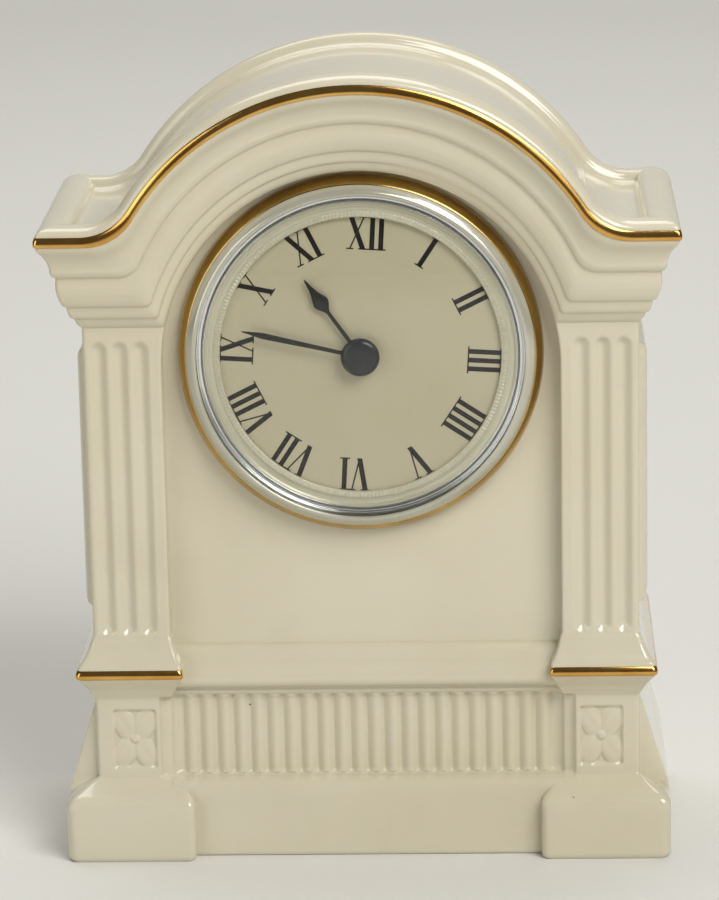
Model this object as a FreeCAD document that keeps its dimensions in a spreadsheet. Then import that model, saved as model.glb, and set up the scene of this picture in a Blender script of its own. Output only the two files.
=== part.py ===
# Arched porcelain shelf clock with a push-fit quartz insert, every piece a separate solid
import FreeCAD, Part
import math
import os
from types import SimpleNamespace

import Sketcher
from FreeCAD import Placement, Rotation, Vector

# Driving dimensions in millimetres, one sheet cell each
SIZES = {
    # Overall case: half widths, heights above the shelf and depths
    "case_depth": 62.0,
    "core_half_width": 60.8,
    "niche_half_width": 43.6,
    "capital_rise": 7.0,
    "porcelain_wall": 5.0,
    "dial_height": 114.5,
    "niche_depth": 4.8,
    "niche_centre_drop": 2.3,
    "niche_floor_height": 47.9,
    # Cornice: crown moulding that follows the arch and turns the corners
    "cornice_projection": 8.95,
    "cornice_drop": 21.1,
    "crown_drop": 19.3,
    "arch_centre_rise": 5.3,
    "niche_crown_overlap": 0.1,
    "arch_foot_radius": 13.0,
    "arch_foot_least_radius": 1.0,
    "rim_rise": 3.1,
    "tray_depth": 2.6,
    "tray_front_rim": 7.2,
    "tray_back_rim": 5.0,
    "tray_side_rim": 8.2,
    "gilding_half_height": 0.75,
    "gilding_thickness": 0.1,
    # Pilasters and the raised panel on each side
    "flute_pitch": 4.3,
    "flute_first": 47.5,
    "flute_radius": 1.6,
    "flute_depth": 0.9,
    "flute_foot_height": 51.8,
    "flute_head_gap": 3.3,
    "side_panel_proud": 2.1,
    "side_panel_low": 56.0,
    "side_panel_gap": 5.5,
    "side_panel_inset": 6.0,
    # Pedestals, base moulding and feet
    "pedestal_inner": 43.6,
    "base_moulding_projection": 3.8,
    "base_moulding_height": 43.2,
    "base_moulding_head": 52.5,
    "pedestal_head": 36.5,
    "pedestal_foot": 17.8,
    "foot_projection": 6.8,
    "foot_height": 13.2,
    "foot_edge": 1.2,
    "flank_setback": 2.4,
    "panel_half_width": 4.6,
    "panel_low": 20.2,
    "panel_high": 33.6,
    "panel_recess": 0.8,
    "petal_radius": 1.7,
    "rosette_button": 1.3,
    # Frieze, ledge above it and plinth below it
    "frieze_recess": 3.2,
    "reed_pitch": 3.8,
    "reed_radius": 1.72,
    "reed_proud": 1.0,
    "cove_width": 5.4,
    "cove_step": 4.0,
    "ledge_projection": 0.8,
    "plinth_projection": 2.9,
    "plinth_height": 16.6,
    "underside_recess": 1.5,
    "foot_rim_width": 8.0,
    "cavity_floor": 8.0,
    "front_hole_radius": 36.3,
    "rear_hole_radius": 34.0,
    # Bezel, lens, ring and dial of the insert
    "bezel_radius": 40.2,
    "bezel_front": 6.0,
    "bezel_sheet": 0.7,
    "bezel_lip_radius": 35.9,
    "lens_radius": 36.5,
    "lens_thickness": 1.3,
    "lens_dome": 3.0,
    "ring_band_width": 5.7,
    "ring_front": 3.85,
    "ring_wall": 0.7,
    "ring_step": 0.5,
    "dial_radius": 34.0,
    "dial_thickness": 0.4,
    "dial_front": 2.4,
    "dial_hole_radius": 2.4,
    # Housing behind the dial
    "housing_radius": 34.6,
    "housing_wall": 1.4,
    "flange_radius": 39.3,
    "flange_thickness": 1.2,
    "housing_back": 11.6,
    "back_thickness": 1.2,
    "gasket_sleeve": 0.6,
    "gasket_length": 7.0,
    "gasket_ribs_width": 0.8,
    "seat_clearance": 0.05,
    "bridge_ledge": 1.2,
    # Movement plates, arbors and wheels
    "plate_radius": 32.9,
    "front_plate_thickness": 1.2,
    "bridge_front": 8.4,
    "bridge_thickness": 1.0,
    "pillar_radius": 1.6,
    "screw_radius": 0.6,
    "screw_head_radius": 1.4,
    "screw_head_height": 0.7,
    "screw_depth": 3.0,
    "arbor_radius": 0.4,
    "cannon_radius": 0.75,
    "pipe_radius": 1.5,
    "running_clearance": 0.05,
    "wheel_thickness": 0.6,
    "pinion_thickness": 1.0,
    "centre_module": 0.35,
    "third_module": 0.3,
    "second_module": 0.3,
    "rotor_module": 0.25,
    "motion_module": 0.36,
    "centre_wheel_level": 2.6,
    "third_wheel_level": 4.2,
    "second_wheel_level": 5.8,
    "intermediate_wheel_level": 7.2,
    "motion_wheel_level": 0.2,
    "hour_wheel_level": 1.1,
    # Hands and the cap over them
    "hour_hand_level": 3.4,
    "hour_hand_length": 20.9,
    "hour_bulb_radius": 1.9,
    "hour_bulb_place": 14.7,
    "minute_hand_level": 4.5,
    "minute_hand_length": 26.6,
        "hand_thickness": 0.3,
    "hand_width": 0.7,
    "cap_radius": 4.3,
    "cap_dome": 1.0,
    "cap_edge": 0.5,
    # Stepping motor, circuit, battery and setting knob
    "magnet_radius": 2.9,
    "magnet_thickness": 2.2,
    "stator_gap": 0.5,
    "stator_level": 3.8,
    "lamination": 0.8,
    "coil_radius": 2.0,
    "coil_length": 10.0,
    "board_thickness": 0.8,
    "board_width": 13.0,
    "board_height": 15.0,
    "crystal_radius": 1.0,
    "crystal_length": 6.0,
    "battery_radius": 5.8,
    "battery_thickness": 5.4,
    "well_clearance": 0.2,
    "well_wall": 2.3,
    "cover_radius": 7.5,
    "cover_slot": 1.2,
    "contact_thickness": 0.3,
    "contact_width": 2.4,
    "knob_radius": 5.5,
    "knob_thickness": 4.0,
    "knob_gap": 0.4,
    "knob_shaft_radius": 0.9,
    # One overrun serves every cut
    "overrun": 1.0,
}

# Tooth counts of the two trains
CENTRE_TEETH = 64
THIRD_TEETH = 60
SECOND_TEETH = 40
INTERMEDIATE_TEETH = 48
PINION_TEETH = 8
CANNON_TEETH = 10
MINUTE_TEETH = 30
MINUTE_PINION_TEETH = 8
HOUR_TEETH = 32
KNOB_TEETH = 10

# Other counts
FLUTES_PER_PILASTER = 3
GASKET_RIBS = 3
KNURLS = 20

# Directions between arbors, in degrees seen from the front
THIRD_DIRECTION = 135.0
SECOND_DIRECTION = 80.0
INTERMEDIATE_DIRECTION = -10.0
ROTOR_DIRECTION = -35.0
MOTION_DIRECTION = -60.0
HALF_TURN = 180

# Hands at rest, clockwise from the top of the case
HOUR_HAND_ANGLE = 325.0
MINUTE_HAND_ANGLE = 283.1

# Crown moulding from its front edge back to the pilaster face:
# share of the projection, share of the drop, share of the rim's rise
CORNICE_SHARES = (
    (1.000, 0.036, 0.24),
    (0.940, 0.075, 0.55),
    (0.860, 0.115, 0.78),
    (0.760, 0.170, 0.93),
    (0.705, 0.215, 1.00),
    (0.670, 0.330, 1.00),
    (0.550, 0.400, 1.00),
    (0.530, 0.520, 1.00),
    (0.450, 0.670, 1.00),
    (0.360, 0.730, 1.00),
    (0.320, 0.790, 1.00),
    (0.250, 0.870, 1.00),
    (0.110, 0.930, 1.00),
    (0.000, 1.000, 1.00),
)

# Base moulding: share of its projection, share of the way up to its head or down to the pedestal
MOULDING_ABOVE_SHARES = ((1.00, 0.00), (0.88, 0.12), (0.55, 0.32), (0.25, 0.55), (0.08, 0.80), (0.00, 1.00))
MOULDING_BELOW_SHARES = ((0.00, 1.00), (0.16, 0.80), (0.46, 0.50), (0.82, 0.20), (1.00, 0.00))
FOOT_SHARES = ((1.00, 0.00), (0.86, 0.28), (0.50, 0.58), (0.20, 0.84), (0.00, 1.00))
FLANK_SHARES = ((1.00, 0.00), (0.88, 0.16), (0.62, 0.40), (0.34, 0.66), (0.12, 0.88), (0.00, 1.00))
# Inner faces of the pedestals stand out less than the outer ones
INNER_SHARE = 0.72
# Ledge over the frieze: share of the reach from niche panel to ledge edge, share of its height
LEDGE_SHARES = (
    (0.00, 1.00), (0.34, 0.86), (0.62, 0.72), (0.86, 0.52), (1.00, 0.36), (0.93, 0.24), (0.55, 0.10),
)
# Bevel round a raised side panel: share of how proud it stands outwards, and inwards from its edge
SIDE_PANEL_SHARES = ((0.0, 0.0), (0.7, 0.5), (1.0, 1.5))

# Bezel, outer flank then rolled lip then inside: sheet thicknesses in from the outer radius or out
# from the lip, share of the bezel's height
BEZEL_FLANK_SHARES = ((0.0, 0.00), (0.3, 0.25), (1.2, 0.52), (2.6, 0.74))
BEZEL_LIP_SHARES = ((1.7, 0.93), (0.8, 1.00), (0.0, 1.00), (0.0, 0.88), (1.0, 0.87))
BEZEL_INSIDE_SHARES = ((3.6, 0.70), (2.0, 0.50), (1.2, 0.25), (1.0, 0.00))
# Reflector ring: the shallow groove in its upper face, in wall thicknesses from the rim and the bore
RING_GROOVE_SHARES = (2.2, 3.0, 2.6)
RING_GROOVE_DEPTH_SHARE = 0.4

# Hands: share of the length, half width as a share of the bulb's radius or of the hand's width
HOUR_BLADE_SHARES = ((-1.00, 0.22), (0.00, 0.96), (1.00, 0.52), (2.00, 0.18))
MINUTE_BLADE_SHARES = ((0.00, 0.50), (0.81, 0.85), (0.88, 0.55))
HOUR_BOSS_SHARE = 0.6
MINUTE_BOSS_SHARE = 0.5

# Pillars of the movement, as shares of the front plate's radius
PILLAR_SHARES = ((-0.73, 0.12), (0.55, -0.64), (-0.46, -0.76), (0.80, 0.38))
BATTERY_SHARES = (-0.365, -0.365)
# Wheel teeth: addendum and dedendum as shares of the module, half widths as shares of the pitch
TIP_SHARE = 0.90
ROOT_SHARE = 1.20
TIP_WIDTH_SHARE = 0.10
ROOT_WIDTH_SHARE = 0.26


class Measure(float):
    """A size in millimetres that also knows the sheet expression it comes from."""

    def __new__(cls, value, text):
        made = super().__new__(cls, value)
        made.text = text
        return made

    def __add__(self, other):
        return Measure(float(self) + float(other), f"({self.text} + {text_of(other)})")

    def __radd__(self, other):
        return Measure(float(other) + float(self), f"({text_of(other)} + {self.text})")

    def __sub__(self, other):
        return Measure(float(self) - float(other), f"({self.text} - {text_of(other)})")

    def __rsub__(self, other):
        return Measure(float(other) - float(self), f"({text_of(other)} - {self.text})")

    def __mul__(self, other):
        return Measure(float(self) * float(other), f"({self.text} * {text_of(other)})")

    def __rmul__(self, other):
        return Measure(float(other) * float(self), f"({text_of(other)} * {self.text})")

    def __truediv__(self, other):
        return Measure(float(self) / float(other), f"({self.text} / {text_of(other)})")

    def __neg__(self):
        return Measure(-float(self), f"(0 - {self.text})")


def text_of(number):
    """Sheet text of a measure or a plain number."""
    return number.text if isinstance(number, Measure) else f"{float(number):.9f}"


doc = FreeCAD.newDocument("ShelfClock")
sheet = doc.addObject("Spreadsheet::Sheet", "Sizes")
for row, (alias, value) in enumerate(SIZES.items(), start=1):
    sheet.set(f"A{row}", alias)
    sheet.set(f"B{row}", str(value))
    sheet.setAlias(f"B{row}", alias)
doc.recompute()
s = SimpleNamespace(**{alias: Measure(getattr(sheet, alias), f"Sizes.{alias}") for alias in SIZES})

# Places worked out from the driving dimensions, in the part's own frame
front_y = s.gilding_thickness / 2 - s.case_depth / 2
back_y = s.gilding_thickness / 2 + s.case_depth / 2
face_y = front_y + s.cornice_projection
panel_y = face_y + s.niche_depth
cornice_half = s.core_half_width + s.cornice_projection
# The ring reaches inwards from the lens's edge
ring_inner_radius = s.lens_radius - s.ring_band_width

# Heights that follow from the dial's
capital_height = s.dial_height + s.capital_rise
cornice_line_height = capital_height + s.cornice_drop
niche_centre_height = s.dial_height - s.niche_centre_drop
arch_centre_height = niche_centre_height + s.arch_centre_rise
niche_crown_height = niche_centre_height + s.niche_half_width
crown_line_height = niche_crown_height + s.crown_drop - s.niche_crown_overlap
flute_head_height = capital_height - s.flute_head_gap
side_panel_high = capital_height - s.side_panel_gap
crown_top = crown_line_height + s.rim_rise
housing_inner = s.housing_radius - s.housing_wall
back_inner = s.housing_back - s.back_thickness
plate_back = s.front_plate_thickness
bridge_back = s.bridge_front + s.bridge_thickness
nodes = []


def bind(obj, **sizes):
    """Set the properties of an object and tie them to the sheet."""
    for name, size in sizes.items():
        setattr(obj, name, float(size))
        if isinstance(size, Measure):
            obj.setExpression(name, size.text)


def set_place(obj, x=0.0, y=0.0, z=0.0, rotation=None):
    """Put an object at a point, tied to the sheet where the point is."""
    obj.Placement = Placement(Vector(float(x), float(y), float(z)), rotation or Rotation())
    for axis, size in zip("xyz", (x, y, z)):
        if isinstance(size, Measure):
            obj.setExpression(f"Placement.Base.{axis}", size.text)


FACING = Rotation(Vector(1, 0, 0), 90)


def on_dial(obj, x=0.0, y=0.0, w=0.0):
    """Put an object on the dial's axis: x right, y up, w out of the niche towards the viewer."""
    set_place(obj, x, panel_y - w, s.dial_height + y, FACING)


def on_dial_turned(obj, w, clockwise):
    """Put an object on the dial's axis, turned clockwise by some degrees as the viewer sees it."""
    turn = Rotation(Vector(0, 0, 1), -clockwise)
    set_place(obj, 0.0, panel_y - w, s.dial_height, FACING.multiply(turn))


def keep(obj):
    """List a finished sub-part."""
    nodes.append(obj)
    return obj


def feature(label, shape, seat=None):
    """A sub-part whose shape is worked out in code."""
    obj = doc.addObject("Part::Feature", label)
    obj.Shape = shape
    if seat:
        seat(obj)
    return obj


def cylinder(name, radius, height):
    """A cylinder whose sizes are tied to the sheet."""
    obj = doc.addObject("Part::Cylinder", name)
    bind(obj, Radius=radius, Height=height)
    return obj


def box(name, length, width, height):
    """A box whose sizes are tied to the sheet."""
    obj = doc.addObject("Part::Box", name)
    bind(obj, Length=length, Width=width, Height=height)
    return obj


def cut(label, base, *tools):
    """One object less some others."""
    tool = tools[0] if len(tools) == 1 else fuse(label + "_tools", *tools)
    obj = doc.addObject("Part::Cut", label)
    obj.Base = base
    obj.Tool = tool
    return obj


def fuse(label, *shapes):
    """Several objects as one."""
    obj = doc.addObject("Part::MultiFuse", label)
    obj.Shapes = list(shapes)
    obj.Refine = True
    return obj


def common(label, base, tool):
    """What two objects share."""
    obj = doc.addObject("Part::Common", label)
    obj.Base = base
    obj.Tool = tool
    return obj


def draw_outline(sketch, points):
    """Draw a closed outline whose corners are tied to the sheet."""
    corners = [Vector(float(x), float(y), 0) for x, y in points]
    for index, corner in enumerate(corners):
        sketch.addGeometry(Part.LineSegment(corner, corners[(index + 1) % len(corners)]), False)
    for index, (x, y) in enumerate(points):
        before = index - 1 if index else len(points) - 1
        sketch.addConstraint(Sketcher.Constraint("Coincident", before, 2, index, 1))
        for kind, size, axis in (("DistanceX", x, -2), ("DistanceY", y, -1)):
            if float(size) == 0:
                sketch.addConstraint(Sketcher.Constraint("PointOnObject", index, 1, axis))
                continue
            number = sketch.addConstraint(Sketcher.Constraint(kind, -1, 1, index, 1, float(size)))
            if isinstance(size, Measure):
                sketch.setExpression(f"Constraints[{number}]", size.text)


def turned(label, points):
    """A body turned about the dial's axis from an outline of radius and height."""
    body = doc.addObject("PartDesign::Body", label)
    sketch = body.newObject("Sketcher::SketchObject", label + "_outline")
    plane = next(item for item in body.Origin.OriginFeatures if item.Role == "XZ_Plane")
    sketch.AttachmentSupport = (plane, [""])
    sketch.MapMode = "FlatFace"
    draw_outline(sketch, points)
    revolution = body.newObject("PartDesign::Revolution", label + "_turned")
    revolution.Profile = sketch
    revolution.ReferenceAxis = (sketch, ["V_Axis"])
    revolution.Angle = 360.0
    body.Tip = revolution
    return body


def face_of(edges):
    """A flat face inside a closed run of edges."""
    return Part.Face(Part.Wire(edges))


def polygon(points):
    """A flat face inside straight runs."""
    return Part.Face(Part.makePolygon([*points, points[0]]))


def plan_polygon(points, low, high):
    """A prism on a plan outline of x and y, between two heights."""
    flat = polygon([Vector(x, y, low) for x, y in points])
    return flat.extrude(Vector(0, 0, high - low))


def ring_edges(y, drop, rise=0.0):
    """One line of the cornice in the plane y: level run, foot curve, arch, foot curve, level run."""
    share = drop / s.cornice_drop
    level = cornice_line_height - drop + rise
    centre = arch_centre_height + (niche_centre_height - arch_centre_height) * share
    top = crown_line_height - s.crown_drop * share + rise
    radius = top - centre
    foot = s.arch_foot_radius * (1 - share) ** 2 + s.arch_foot_least_radius
    foot -= min(rise, s.arch_foot_radius / 2)
    foot_x = math.sqrt((radius + foot) ** 2 - (level + foot - centre) ** 2)
    meet_x = foot_x * radius / (radius + foot)
    meet_z = centre + (level + foot - centre) * radius / (radius + foot)
    lean = math.atan2(foot_x, level + foot - centre) / 2
    mid_x = foot_x - foot * math.sin(lean)
    mid_z = level + foot - foot * math.cos(lean)
    end = cornice_half + s.overrun
    at = lambda x, z: Vector(x, y, z)
    return [
        Part.LineSegment(at(-end, level), at(-foot_x, level)).toShape(),
        Part.Arc(at(-foot_x, level), at(-mid_x, mid_z), at(-meet_x, meet_z)).toShape(),
        Part.Arc(at(-meet_x, meet_z), at(0, top), at(meet_x, meet_z)).toShape(),
        Part.Arc(at(meet_x, meet_z), at(mid_x, mid_z), at(foot_x, level)).toShape(),
        Part.LineSegment(at(foot_x, level), at(end, level)).toShape(),
    ]


def band_wire(y, drop, rise):
    """Closed section of the crown moulding between its lower and upper lines."""
    lower = ring_edges(y, drop)
    upper = ring_edges(y, 0.0, rise)
    ends = [
        Part.LineSegment(lower[-1].Vertexes[-1].Point, upper[-1].Vertexes[-1].Point).toShape(),
        Part.LineSegment(upper[0].Vertexes[0].Point, lower[0].Vertexes[0].Point).toShape(),
    ]
    return Part.Wire([*lower, ends[0], *reversed(upper), ends[1]])


def side_profile():
    """Corners of the moulding on the right side, from the rim's top down to the capital's foot."""
    upper = [(share, rise) for share, _, rise in CORNICE_SHARES if rise < 1.0]
    first_flat = next(share for share, _, rise in CORNICE_SHARES if rise >= 1.0)
    corners = [(s.core_half_width + s.cornice_projection * first_flat, cornice_line_height + s.rim_rise)]
    for share, rise in reversed(upper):
        x = s.core_half_width + s.cornice_projection * share
        corners.append((x, cornice_line_height + s.rim_rise * rise))
    for share, drop, _ in CORNICE_SHARES:
        x = s.core_half_width + s.cornice_projection * share
        corners.append((x, cornice_line_height - s.cornice_drop * drop))
    return corners


def cornice_shape():
    """Crown moulding: a ruled sweep round the arch, mitred into level runs along both sides."""
    sections = []
    for projection, drop, rise in CORNICE_SHARES:
        y = face_y - s.cornice_projection * projection
        sections.append(band_wire(y, s.cornice_drop * drop, s.rim_rise * rise))
    front = Part.makeLoft(sections, True, True)
    right = [Vector(x, front_y - s.overrun, z) for x, z in side_profile()]
    left = [Vector(-corner.x, corner.y, corner.z) for corner in reversed(right)]
    high = crown_top + s.overrun
    lid = [Vector(-right[0].x, right[0].y, high), Vector(right[0].x, right[0].y, high)]
    section = polygon([*lid, *right, *left])
    run = section.extrude(Vector(0, s.case_depth + 2 * s.overrun, 0))
    top = ring_edges(face_y, 0.0, s.rim_rise)
    feet = [Vector(top[-1].Vertexes[-1].Point), Vector(top[0].Vertexes[0].Point)]
    low = capital_height
    sides = [
        Part.LineSegment(feet[0], Vector(feet[0].x, face_y, low)).toShape(),
        Part.LineSegment(Vector(feet[0].x, face_y, low), Vector(feet[1].x, face_y, low)).toShape(),
        Part.LineSegment(Vector(feet[1].x, face_y, low), feet[1]).toShape(),
    ]
    behind = face_of([*top, *sides]).extrude(Vector(0, back_y - face_y, 0))
    return front.fuse(behind).common(run)


def tray_tool():
    """Space of the shallow tray between the rims on top of the cornice."""
    edges = ring_edges(front_y + s.tray_front_rim, 0.0, s.rim_rise - s.tray_depth)
    start = edges[0].Vertexes[0].Point
    end = edges[-1].Vertexes[-1].Point
    high = crown_top + s.overrun
    lid = [
        Part.LineSegment(end, Vector(end.x, end.y, high)).toShape(),
        Part.LineSegment(Vector(end.x, end.y, high), Vector(start.x, start.y, high)).toShape(),
        Part.LineSegment(Vector(start.x, start.y, high), start).toShape(),
    ]
    length = s.case_depth - s.tray_front_rim - s.tray_back_rim
    channel = face_of([*edges, *lid]).extrude(Vector(0, length, 0))
    half = cornice_half - s.tray_side_rim
    limit = Part.makeBox(2 * half, s.case_depth, high, Vector(-half, front_y, 0))
    return channel.common(limit)


def arch_prism(half_width, centre, low, y_from, y_to):
    """A round-headed prism between two depths."""
    at = lambda x, z: Vector(x, y_from, z)
    edges = [
        Part.LineSegment(at(-half_width, centre), at(-half_width, low)).toShape(),
        Part.LineSegment(at(-half_width, low), at(half_width, low)).toShape(),
        Part.LineSegment(at(half_width, low), at(half_width, centre)).toShape(),
        Part.Arc(at(half_width, centre), at(0, centre + half_width), at(-half_width, centre)).toShape(),
    ]
    return face_of(edges).extrude(Vector(0, y_to - y_from, 0))


def pedestal_wire(z, outer, inner, front):
    """Plan outline of a pedestal at one height."""
    corners = [
        Vector(s.pedestal_inner - inner, face_y - front, z),
        Vector(s.core_half_width + outer, face_y - front, z),
        Vector(s.core_half_width + outer, back_y, z),
        Vector(s.pedestal_inner - inner, back_y, z),
    ]
    return Part.makePolygon([*corners, corners[0]])


def pedestal_levels():
    """Height and projection of each line of the pedestal, from the shelf up."""
    levels = [(0.0, s.foot_projection - s.foot_edge / 2), (s.foot_edge, s.foot_projection)]
    for share, way in FOOT_SHARES:
        levels.append((s.foot_height + (s.pedestal_foot - s.foot_height) * way, s.foot_projection * share))
    half = s.gilding_half_height
    low = s.base_moulding_height - half
    for share, way in MOULDING_BELOW_SHARES:
        levels.append((low - (low - s.pedestal_head) * way, s.base_moulding_projection * share))
    high = s.base_moulding_height + half
    for share, way in MOULDING_ABOVE_SHARES:
        levels.append((high + (s.base_moulding_head - high) * way, s.base_moulding_projection * share))
    return levels


def pedestal_shape():
    """Right pedestal with its foot and base moulding, mitred round three sides."""
    wires = [pedestal_wire(z, reach, reach * INNER_SHARE, reach) for z, reach in pedestal_levels()]
    return Part.makeLoft(wires, True, True)


def flank_shape():
    """Lower sides of the case behind the pedestals, flaring down to the feet."""
    right = [Vector(s.core_half_width + s.foot_projection - s.foot_edge / 2, face_y + s.flank_setback, 0)]
    right.append(Vector(s.core_half_width + s.foot_projection, face_y + s.flank_setback, s.foot_edge))
    for share, way in FLANK_SHARES:
        z = s.foot_height + (s.pedestal_head - s.foot_height) * way
        right.append(Vector(s.core_half_width + s.foot_projection * share, face_y + s.flank_setback, z))
    left = [Vector(-corner.x, corner.y, corner.z) for corner in reversed(right)]
    return polygon([*right, *left]).extrude(Vector(0, back_y - face_y - s.flank_setback, 0))


def centre_shape():
    """Plinth, reeded frieze and ledge between the pedestals."""
    frieze_y = face_y + s.frieze_recess
    top = s.niche_floor_height
    edge_y = face_y - s.ledge_projection
    corners = [(back_y, 0.0), (face_y - s.plinth_projection + s.foot_edge / 2, 0.0)]
    corners.append((face_y - s.plinth_projection, s.foot_edge / 2))
    corners.append((face_y - s.plinth_projection, s.plinth_height))
    corners.append((face_y - s.plinth_projection / 2, s.pedestal_foot))
    corners.append((frieze_y, s.pedestal_foot))
    corners.append((frieze_y, s.pedestal_head))
    for reach, way in reversed(LEDGE_SHARES):
        z = s.pedestal_head + (top - s.pedestal_head) * way
        corners.append((panel_y + (edge_y - panel_y) * reach, z))
    corners.append((back_y, top))
    half = s.pedestal_inner + s.overrun
    block = polygon([Vector(-half, y, z) for y, z in corners]).extrude(Vector(2 * half, 0, 0))
    count = int((2 * (s.pedestal_inner - s.cove_width + s.reed_pitch / 2)) // s.reed_pitch)
    first = -(count - 1) / 2 * s.reed_pitch
    axis_y = frieze_y + s.reed_radius - s.reed_proud
    length = s.pedestal_head - s.pedestal_foot + 2 * s.overrun
    reeds = []
    for index in range(count):
        start = Vector(first + index * s.reed_pitch, axis_y, s.pedestal_foot - s.overrun)
        reeds.append(Part.makeCylinder(s.reed_radius, length, start))
    return block.fuse(reeds)


def cove_shape():
    """Hollow curve in plan that brings the frieze forward to the right pedestal."""
    near = Vector(s.pedestal_inner - s.cove_step / 2, face_y + s.frieze_recess, s.pedestal_foot)
    far = Vector(s.pedestal_inner + s.cove_step / 2, face_y + s.panel_recess / 2, s.pedestal_foot)
    sag = s.frieze_recess / 4
    middle = Vector((near.x + far.x) / 2, (near.y + far.y) / 2 + sag, s.pedestal_foot)
    back = Vector(far.x, near.y + s.overrun, s.pedestal_foot)
    corner = Vector(near.x, near.y + s.overrun, s.pedestal_foot)
    edges = [
        Part.Arc(near, middle, far).toShape(),
        Part.LineSegment(far, back).toShape(),
        Part.LineSegment(back, corner).toShape(),
        Part.LineSegment(corner, near).toShape(),
    ]
    return face_of(edges).extrude(Vector(0, 0, s.pedestal_head - s.pedestal_foot))


def flute_tool(x):
    """One round-ended flute of a pilaster."""
    axis_y = face_y + s.flute_depth - s.flute_radius
    low = Vector(x, axis_y, s.flute_foot_height + s.flute_radius)
    high = Vector(x, axis_y, flute_head_height - s.flute_radius)
    groove = Part.makeCylinder(s.flute_radius, high.z - low.z, low)
    return groove.fuse([Part.makeSphere(s.flute_radius, low), Part.makeSphere(s.flute_radius, high)])


def pedestal_panel_tool():
    """Sunk panel on the right pedestal, less the four-petalled rosette that stands in it."""
    centre_x = s.pedestal_inner + (s.core_half_width - s.pedestal_inner) / 2
    centre_z = (s.panel_low + s.panel_high) / 2
    size = Vector(2 * s.panel_half_width, s.panel_recess, s.panel_high - s.panel_low)
    corner = Vector(centre_x - s.panel_half_width, face_y, s.panel_low)
    sunk = Part.makeBox(size.x, size.y + s.overrun, size.z, corner - Vector(0, s.overrun, 0))
    button = Vector(centre_x, face_y + s.panel_recess / 2, centre_z)
    petals = [Part.makeCylinder(s.rosette_button, s.panel_recess, button, Vector(0, 1, 0))]
    reach = math.hypot(size.x, size.z) / 2 * TIP_SHARE
    bow = (reach * reach / 4 + s.petal_radius * s.petal_radius) / (2 * s.petal_radius)
    lean = math.degrees(math.atan2(size.z, size.x))
    for side in (-1, 1):
        for up in (-1, 1):
            y = face_y + s.panel_recess / 4
            place = Vector(centre_x + side * size.x / 4, y, centre_z + up * size.z / 4)
            halves = []
            for across in (-1, 1):
                middle = Vector(0, 0, across * (bow - s.petal_radius))
                halves.append(Part.makeCylinder(bow, s.panel_recess, middle, Vector(0, 1, 0)))
            petal = halves[0].common(halves[1])
            petal.rotate(Vector(0, 0, 0), Vector(0, 1, 0), -side * up * lean)
            petal.translate(place)
            petals.append(petal)
    return sunk.cut(petals)


def side_panel_shape():
    """Raised panel with bevelled edges on the right side."""
    def outline(x, shrink):
        low_y = face_y + s.side_panel_inset + shrink
        high_y = back_y - s.side_panel_inset - shrink
        low_z = s.side_panel_low + shrink
        high_z = side_panel_high - shrink
        corners = [(low_y, low_z), (high_y, low_z), (high_y, high_z), (low_y, high_z)]
        return Part.makePolygon([Vector(x, y, z) for y, z in [*corners, corners[0]]])
    wires = [outline(s.core_half_width - s.overrun, 0.0)]
    for out, inwards in SIDE_PANEL_SHARES:
        wires.append(outline(s.core_half_width + s.side_panel_proud * out, s.side_panel_proud * inwards))
    return Part.makeLoft(wires, True, True)


def mirrored(shape):
    """The same form on the left."""
    return shape.mirror(Vector(0, 0, 0), Vector(1, 0, 0))


def make_case():
    """Hollow porcelain case as one fired piece."""
    core = box("case_core", 2 * s.core_half_width, back_y - face_y, capital_height)
    set_place(core, -s.core_half_width, face_y, 0.0)
    cornice = feature("case_cornice", cornice_shape())
    pedestal = pedestal_shape()
    pedestals = feature("case_pedestals", pedestal.fuse(mirrored(pedestal)))
    side_panel = side_panel_shape()
    sides = feature("case_side_panels", Part.makeCompound([side_panel, mirrored(side_panel)]))
    cove = cove_shape()
    coves = feature("case_coves", Part.makeCompound([cove, mirrored(cove)]))
    flank = feature("case_flanks", flank_shape())
    centre = feature("case_frieze", centre_shape())
    low = s.niche_floor_height
    hollow_front = arch_prism(s.niche_half_width, niche_centre_height, low, face_y - s.overrun, panel_y)
    niche = feature("case_niche", hollow_front)
    recess = box("case_frieze_recess", 2 * s.pedestal_inner, s.niche_depth, s.niche_floor_height)
    set_place(recess, -s.pedestal_inner, face_y, 0.0)
    body = cut("case_front", core, recess)
    outside = fuse("case_outside", body, cornice, pedestals, sides, coves, flank, centre)
    flutes = []
    for side in (-1, 1):
        for index in range(FLUTES_PER_PILASTER):
            flutes.append(flute_tool(side * (s.flute_first + index * s.flute_pitch)))
    panel = pedestal_panel_tool()
    carving = feature("case_carving", Part.makeCompound([*flutes, panel, mirrored(panel)]))
    tray = feature("case_tray", tray_tool())
    hollow = feature(
        "case_hollow",
        arch_prism(
            s.core_half_width - s.porcelain_wall,
            niche_centre_height - s.porcelain_wall,
            s.cavity_floor,
            panel_y + s.porcelain_wall,
            back_y - s.porcelain_wall,
        ),
    )
    front_hole = cylinder("case_front_hole", s.front_hole_radius, s.porcelain_wall + 2 * s.overrun)
    on_dial(front_hole, w=-s.porcelain_wall - s.overrun)
    rear_hole = cylinder("case_rear_hole", s.rear_hole_radius, s.porcelain_wall + 2 * s.overrun)
    set_place(rear_hole, 0.0, back_y + s.overrun, s.dial_height, FACING)
    width = 2 * (s.core_half_width - s.foot_rim_width)
    depth = s.case_depth - s.cornice_projection - 2 * s.foot_rim_width
    underside = box("case_underside", width, depth, s.underside_recess + s.overrun)
    set_place(underside, -width / 2, face_y + s.foot_rim_width, -s.overrun)
    return keep(cut("case", outside, niche, carving, tray, hollow, front_hole, rear_hole, underside))


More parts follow.
